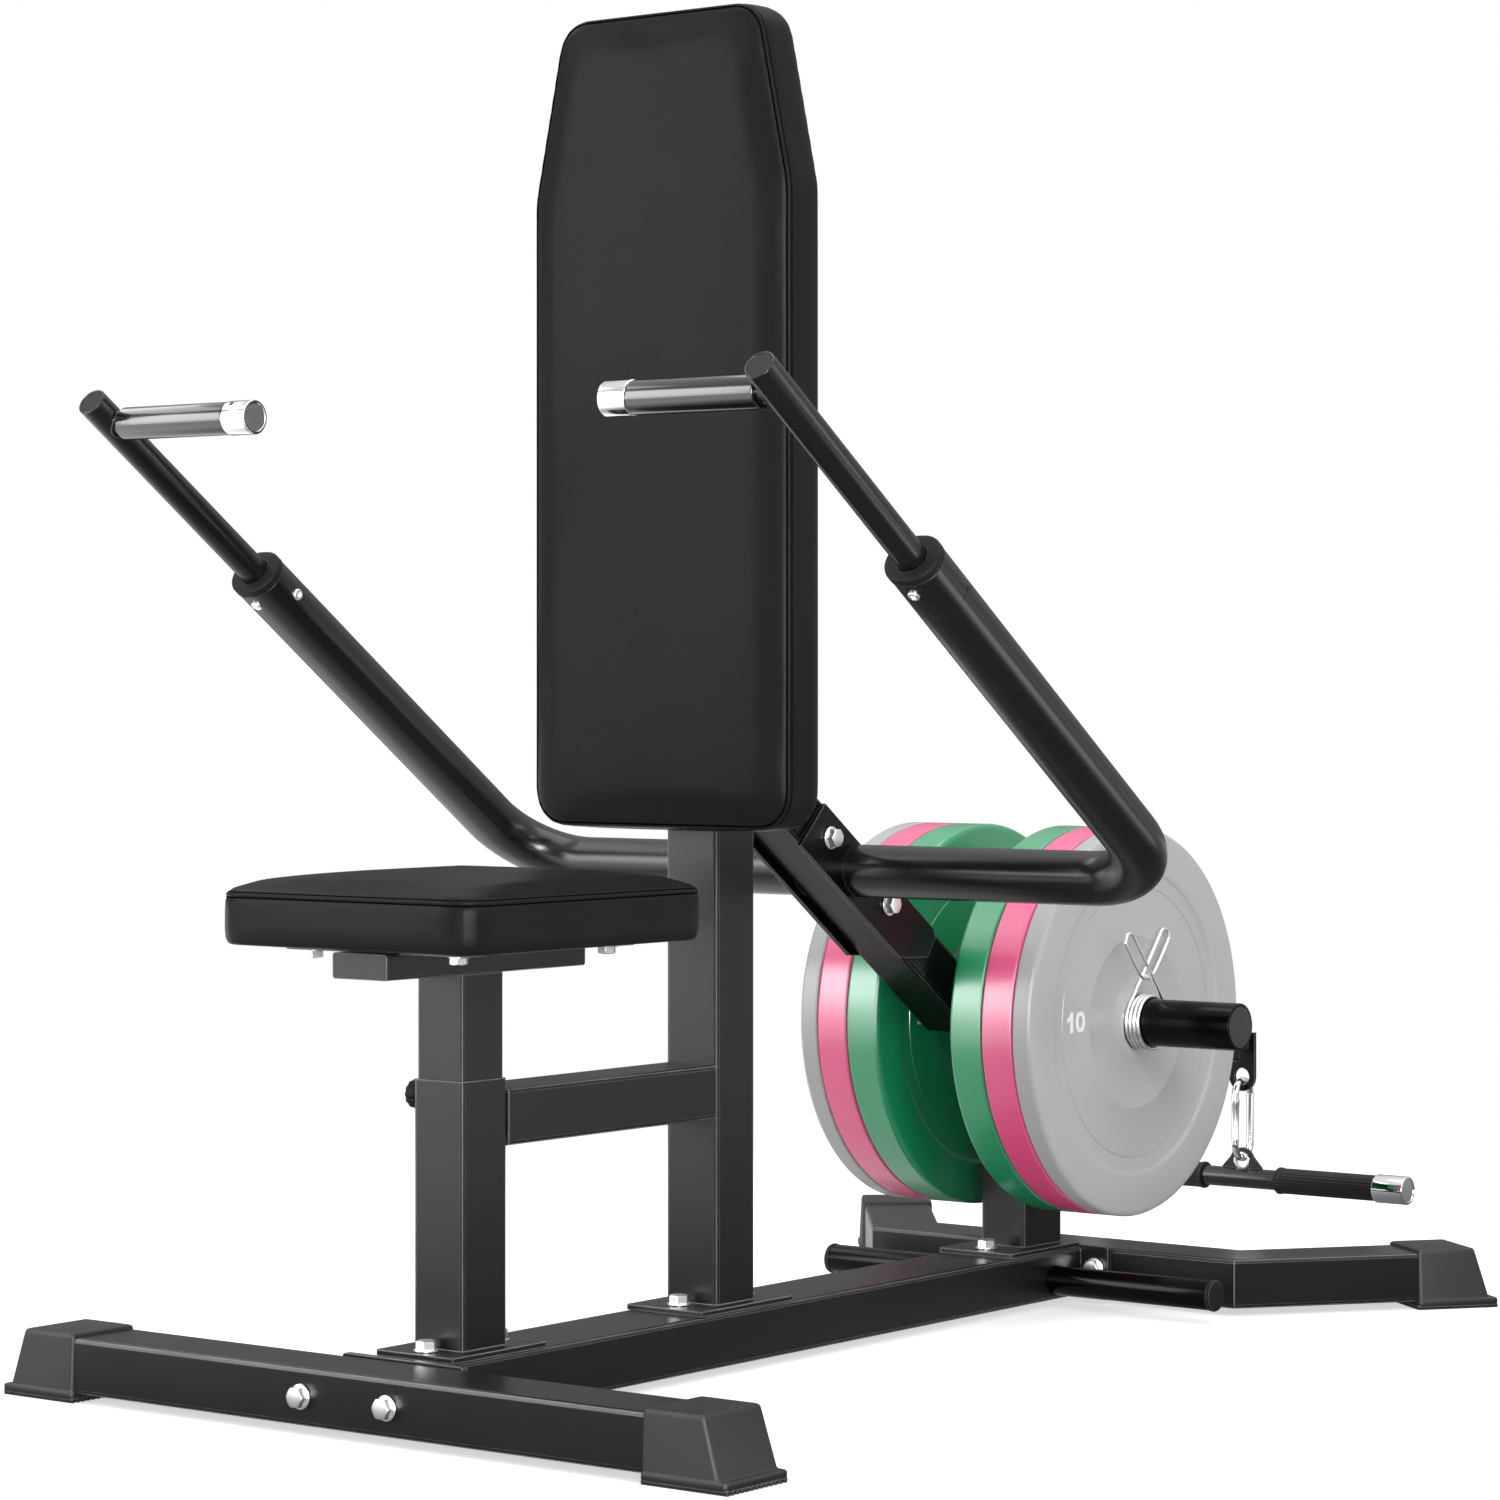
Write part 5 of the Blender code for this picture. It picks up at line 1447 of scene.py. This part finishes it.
def blow_up(obj, context, pinned):
    """Runs the cover as cloth under pressure, and keeps only how far it came out, limited and evened."""
    s = context.scene.dip_pads
    start = [v.co.copy() for v in obj.data.vertices]
    out = [v.normal.copy() for v in obj.data.vertices]
    held = obj.vertex_groups.new(name="Held")
    held.add([v.index for v in obj.data.vertices if pinned(v.co)], 1.0, "REPLACE")
    cloth = obj.modifiers.new("Foam", "CLOTH")
    use = cloth.settings
    use.quality, use.mass = 6, 0.4
    use.tension_stiffness = use.compression_stiffness = 30.0
    use.shear_stiffness, use.bending_stiffness = 10.0, 2.0
    use.use_pressure, use.uniform_pressure_force = True, s.pressure
    use.vertex_group_mass = "Held"
    use.effector_weights.gravity = 0.0
    cloth.point_cache.frame_start, cloth.point_cache.frame_end = 1, s.frames
    for f in range(1, s.frames + 1):
        context.scene.frame_set(f)
    bake(obj)
    context.scene.frame_set(1)
    mesh = obj.data
    push = [max(0.0, (v.co - was).dot(n)) * 1000 for v, was, n in zip(mesh.vertices, start, out)]
    push = [s.swell * (1.0 - math.exp(-p / s.swell)) for p in push]
    push = evened(push, mesh.edges, 8)
    for v, was, n, p in zip(mesh.vertices, start, out, push):
        v.co = was + n * (p / 1000)


def evened(values, edges, rounds):
    """One value per vertex, averaged with its neighbours' values some rounds over."""
    for _ in range(rounds):
        total, count = values[:], [1] * len(values)
        for edge in edges:
            i, j = edge.vertices
            total[i] += values[j]
            total[j] += values[i]
            count[i] += 1
            count[j] += 1
        values = [t / c for t, c in zip(total, count)]
    return values


def bake(obj):
    """Applies the object's modifiers."""
    graph = bpy.context.evaluated_depsgraph_get()
    made = bpy.data.meshes.new_from_object(obj.evaluated_get(graph))
    obj.modifiers.clear()
    obj.data = made


def relax(mesh, rounds):
    """Evens out the voxel steps, each round inwards and back out."""
    bm = bmesh.new()
    bm.from_mesh(mesh)
    for _ in range(rounds):
        for factor in (0.5, -0.52):
            bmesh.ops.smooth_vert(
                bm, verts=bm.verts, factor=factor, use_axis_x=True, use_axis_y=True, use_axis_z=True
            )
    bm.to_mesh(mesh)
    bm.free()


def sew(obj, loop, name, body, context):
    """Lays a welt on the cover along a loop, draws the cover in beside it and runs the stitches."""
    tree = BVHTree.FromObject(obj, context.evaluated_depsgraph_get())
    path, normals = [], []
    for p in loop:
        hit, normal, _, _ = tree.find_nearest(to_row(p))
        path.append(hit)
        normals.append(normal)
    draw_in(obj.data, path, normals)
    back = Vector((0, Y_MID, 0))
    tube = [(p - n * (SEAM_SINK / 1000)) * 1000 + back for p, n in zip(path, normals)]
    piece(name, wire(tube, context.scene.dip_pads.welt, 12, True), "seam welt", body, sharp=60)
    edges = []
    for way in (-1, 1):
        line = []
        for i, (p, n) in enumerate(zip(path, normals)):
            run = (path[(i + 1) % len(path)] - path[i - 1]).normalized()
            aside = run.cross(n).normalized() * (way * STITCH_ASIDE / 1000)
            line.append((p + aside - n * (STITCH_SINK / 1000)) * 1000 + back)
        edges.append(wire(line, THREAD_R, 8, True))
    piece(f"{name}_stitches", join(*edges), "seam thread", body, sharp=60)


def draw_in(mesh, path, normals):
    """Sinks the cover beside the seam, searching every fourth point of its path first."""
    for v in mesh.vertices:
        rough = min(range(0, len(path), 4), key=lambda i: (path[i] - v.co).length_squared)
        near = min(range(rough - 4, rough + 5), key=lambda i: (path[i % len(path)] - v.co).length_squared)
        near %= len(path)
        d = (path[near] - v.co).length * 1000
        if d < SEAM_REACH:
            v.co -= normals[near] * (SEAM_SINK / 1000) * math.exp(-((d / SEAM_WIDTH) ** 2))


def outline_loop(corners, radii, steps):
    """A closed outline through corners, each rounded by its radius."""
    made = []
    for i, here in enumerate(corners):
        here = Vector(here)
        to_last = (Vector(corners[i - 1]) - here).normalized()
        to_next = (Vector(corners[(i + 1) % len(corners)]) - here).normalized()
        half = math.acos(max(-1.0, min(1.0, to_last.dot(to_next)))) / 2
        reach = radii[i] / math.tan(half)
        a, b = here + to_last * reach, here + to_next * reach
        centre = here + (to_last + to_next).normalized() * (radii[i] / math.sin(half))
        for k in range(steps + 1):
            p = a.lerp(b, k / steps) - centre
            made.append(centre + p.normalized() * radii[i])
    return made


def dense(loop, step):
    """The loop with its points no further apart than a step, in millimetres."""
    made = []
    for i, a in enumerate(loop):
        b = loop[(i + 1) % len(loop)]
        count = max(1, int(math.ceil((b - a).length / step)))
        made += [a.lerp(b, k / count) for k in range(count)]
    return made


def build_pads(context):
    """The sewn seat and back pads."""
    seat = swollen("seat_pad", "seat_cover", context, lambda c: c.z < SEAT_HELD / 1000)
    loop = outline_loop(SEAT_SEAM, [SEAM_CORNER] * 4, 10)
    loop = [Vector((p.x, p.y, SEAT_EDGE - 4.0)) for p in dense(loop, 3.0)]
    finish_pad(seat, "seat_pad", "seat")
    sew(seat, loop, "seat_welt", "seat", context)

    back = swollen("back_pad", "back_cover", context, lambda c: c.y > (BACK_HELD - Y_MID) / 1000)
    wide = SHOULDER_CORNER
    loop = outline_loop(BACK_SEAM, [SEAM_CORNER, SEAM_CORNER, wide, SEAM_CORNER, SEAM_CORNER, wide], 10)
    loop = [Vector((p.x, BACK_Y0 + 8.5, p.y)) for p in dense(loop, 3.0)]
    finish_pad(back, "back_pad", "frame")
    sew(back, loop, "back_welt", "frame", context)


def finish_pad(obj, node_name, body):
    """Leather on a pad's cover, the body that it rides on and the solid that it stands for."""
    obj.data.materials.clear()
    obj.data.materials.append(finish("faux leather"))
    obj.data.shade_smooth()
    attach(obj, body)
    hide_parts(node_name)


# Operators, one for each group of pieces


class DIP_OT_stage(bpy.types.Operator):
    """Sets up the white surroundings, lights and camera."""

    bl_idname = "dip.stage"
    bl_label = "Stage"

    def execute(self, context):
        build_stage(context)
        return {"FINISHED"}


class DIP_OT_frame(bpy.types.Operator):
    """Paints the frame and adds the storage pegs."""

    bl_idname = "dip.frame"
    bl_label = "Frame"

    def execute(self, context):
        build_frame(context)
        return {"FINISHED"}


class DIP_OT_feet(bpy.types.Operator):
    """Adds the rubber feet."""

    bl_idname = "dip.feet"
    bl_label = "Feet"

    def execute(self, context):
        build_feet(context)
        return {"FINISHED"}


class DIP_OT_pads(bpy.types.Operator):
    """Sews the seat and back pads."""

    bl_idname = "dip.pads"
    bl_label = "Pads"

    def execute(self, context):
        build_pads(context)
        return {"FINISHED"}


class DIP_OT_fasteners(bpy.types.Operator):
    """Adds bolts, nuts and screws."""

    bl_idname = "dip.fasteners"
    bl_label = "Fasteners"

    def execute(self, context):
        build_fasteners(context)
        return {"FINISHED"}


class DIP_OT_arms(bpy.types.Operator):
    """Adds the bent arms and their caps."""

    bl_idname = "dip.arms"
    bl_label = "Arms"

    def execute(self, context):
        build_arms(context)
        return {"FINISHED"}


class DIP_OT_handles(bpy.types.Operator):
    """Adds the telescoping handles."""

    bl_idname = "dip.handles"
    bl_label = "Handles"

    def execute(self, context):
        build_handles(context)
        return {"FINISHED"}


class DIP_OT_horns(bpy.types.Operator):
    """Adds the weight horns."""

    bl_idname = "dip.horns"
    bl_label = "Weight horns"

    def execute(self, context):
        build_horns(context)
        return {"FINISHED"}


class DIP_OT_plates(bpy.types.Operator):
    """Adds the weight plates and their numbers."""

    bl_idname = "dip.plates"
    bl_label = "Weight plates"

    def execute(self, context):
        build_plates(context)
        return {"FINISHED"}


class DIP_OT_springs(bpy.types.Operator):
    """Adds the spring collars."""

    bl_idname = "dip.springs"
    bl_label = "Spring collars"

    def execute(self, context):
        build_springs(context)
        return {"FINISHED"}


class DIP_OT_tail(bpy.types.Operator):
    """Adds the carabiner and the pull bar."""

    bl_idname = "dip.tail"
    bl_label = "Carabiner and bar"

    def execute(self, context):
        build_tail(context)
        return {"FINISHED"}


class DIP_OT_knob(bpy.types.Operator):
    """Adds the seat's pull knob."""

    bl_idname = "dip.knob"
    bl_label = "Pull knob"

    def execute(self, context):
        build_knob(context)
        return {"FINISHED"}


OPERATORS = (
    DIP_OT_stage, DIP_OT_frame, DIP_OT_feet, DIP_OT_pads, DIP_OT_fasteners, DIP_OT_arms, DIP_OT_handles,
    DIP_OT_horns, DIP_OT_plates, DIP_OT_springs, DIP_OT_tail, DIP_OT_knob,
)


class DIP_PT_panel(bpy.types.Panel):
    """Lists the machine's pieces and their settings."""

    bl_idname, bl_label = "DIP_PT_panel", "Seated Dip Machine"
    bl_space_type, bl_region_type, bl_category = "VIEW_3D", "UI", "Dip Machine"

    def draw(self, context):
        for group in ("dip_paint", "dip_pads", "dip_plates", "dip_stage"):
            box = self.layout.box()
            settings = getattr(context.scene, group)
            for name in settings.__annotations__:
                box.prop(settings, name)
        for operator in OPERATORS:
            self.layout.operator(operator.bl_idname)


GROUPS = (
    (PaintSettings, "dip_paint"),
    (PadSettings, "dip_pads"),
    (PlateSettings, "dip_plates"),
    (StageSettings, "dip_stage"),
)


def register():
    """Adds the settings, the operators and the panel to Blender."""
    for group, name in GROUPS:
        bpy.utils.register_class(group)
        setattr(bpy.types.Scene, name, PointerProperty(type=group))
    for cls in (*OPERATORS, DIP_PT_panel):
        bpy.utils.register_class(cls)


def unregister():
    """Takes them away again, the last first."""
    for cls in (DIP_PT_panel, *reversed(OPERATORS)):
        bpy.utils.unregister_class(cls)
    for group, name in reversed(GROUPS):
        delattr(bpy.types.Scene, name)
        bpy.utils.unregister_class(group)


def main():
    """Runs every operator in turn."""
    register()
    for operator in OPERATORS:
        getattr(bpy.ops.dip, operator.bl_idname.split(".")[1])()


if __name__ == "__main__":
    main()
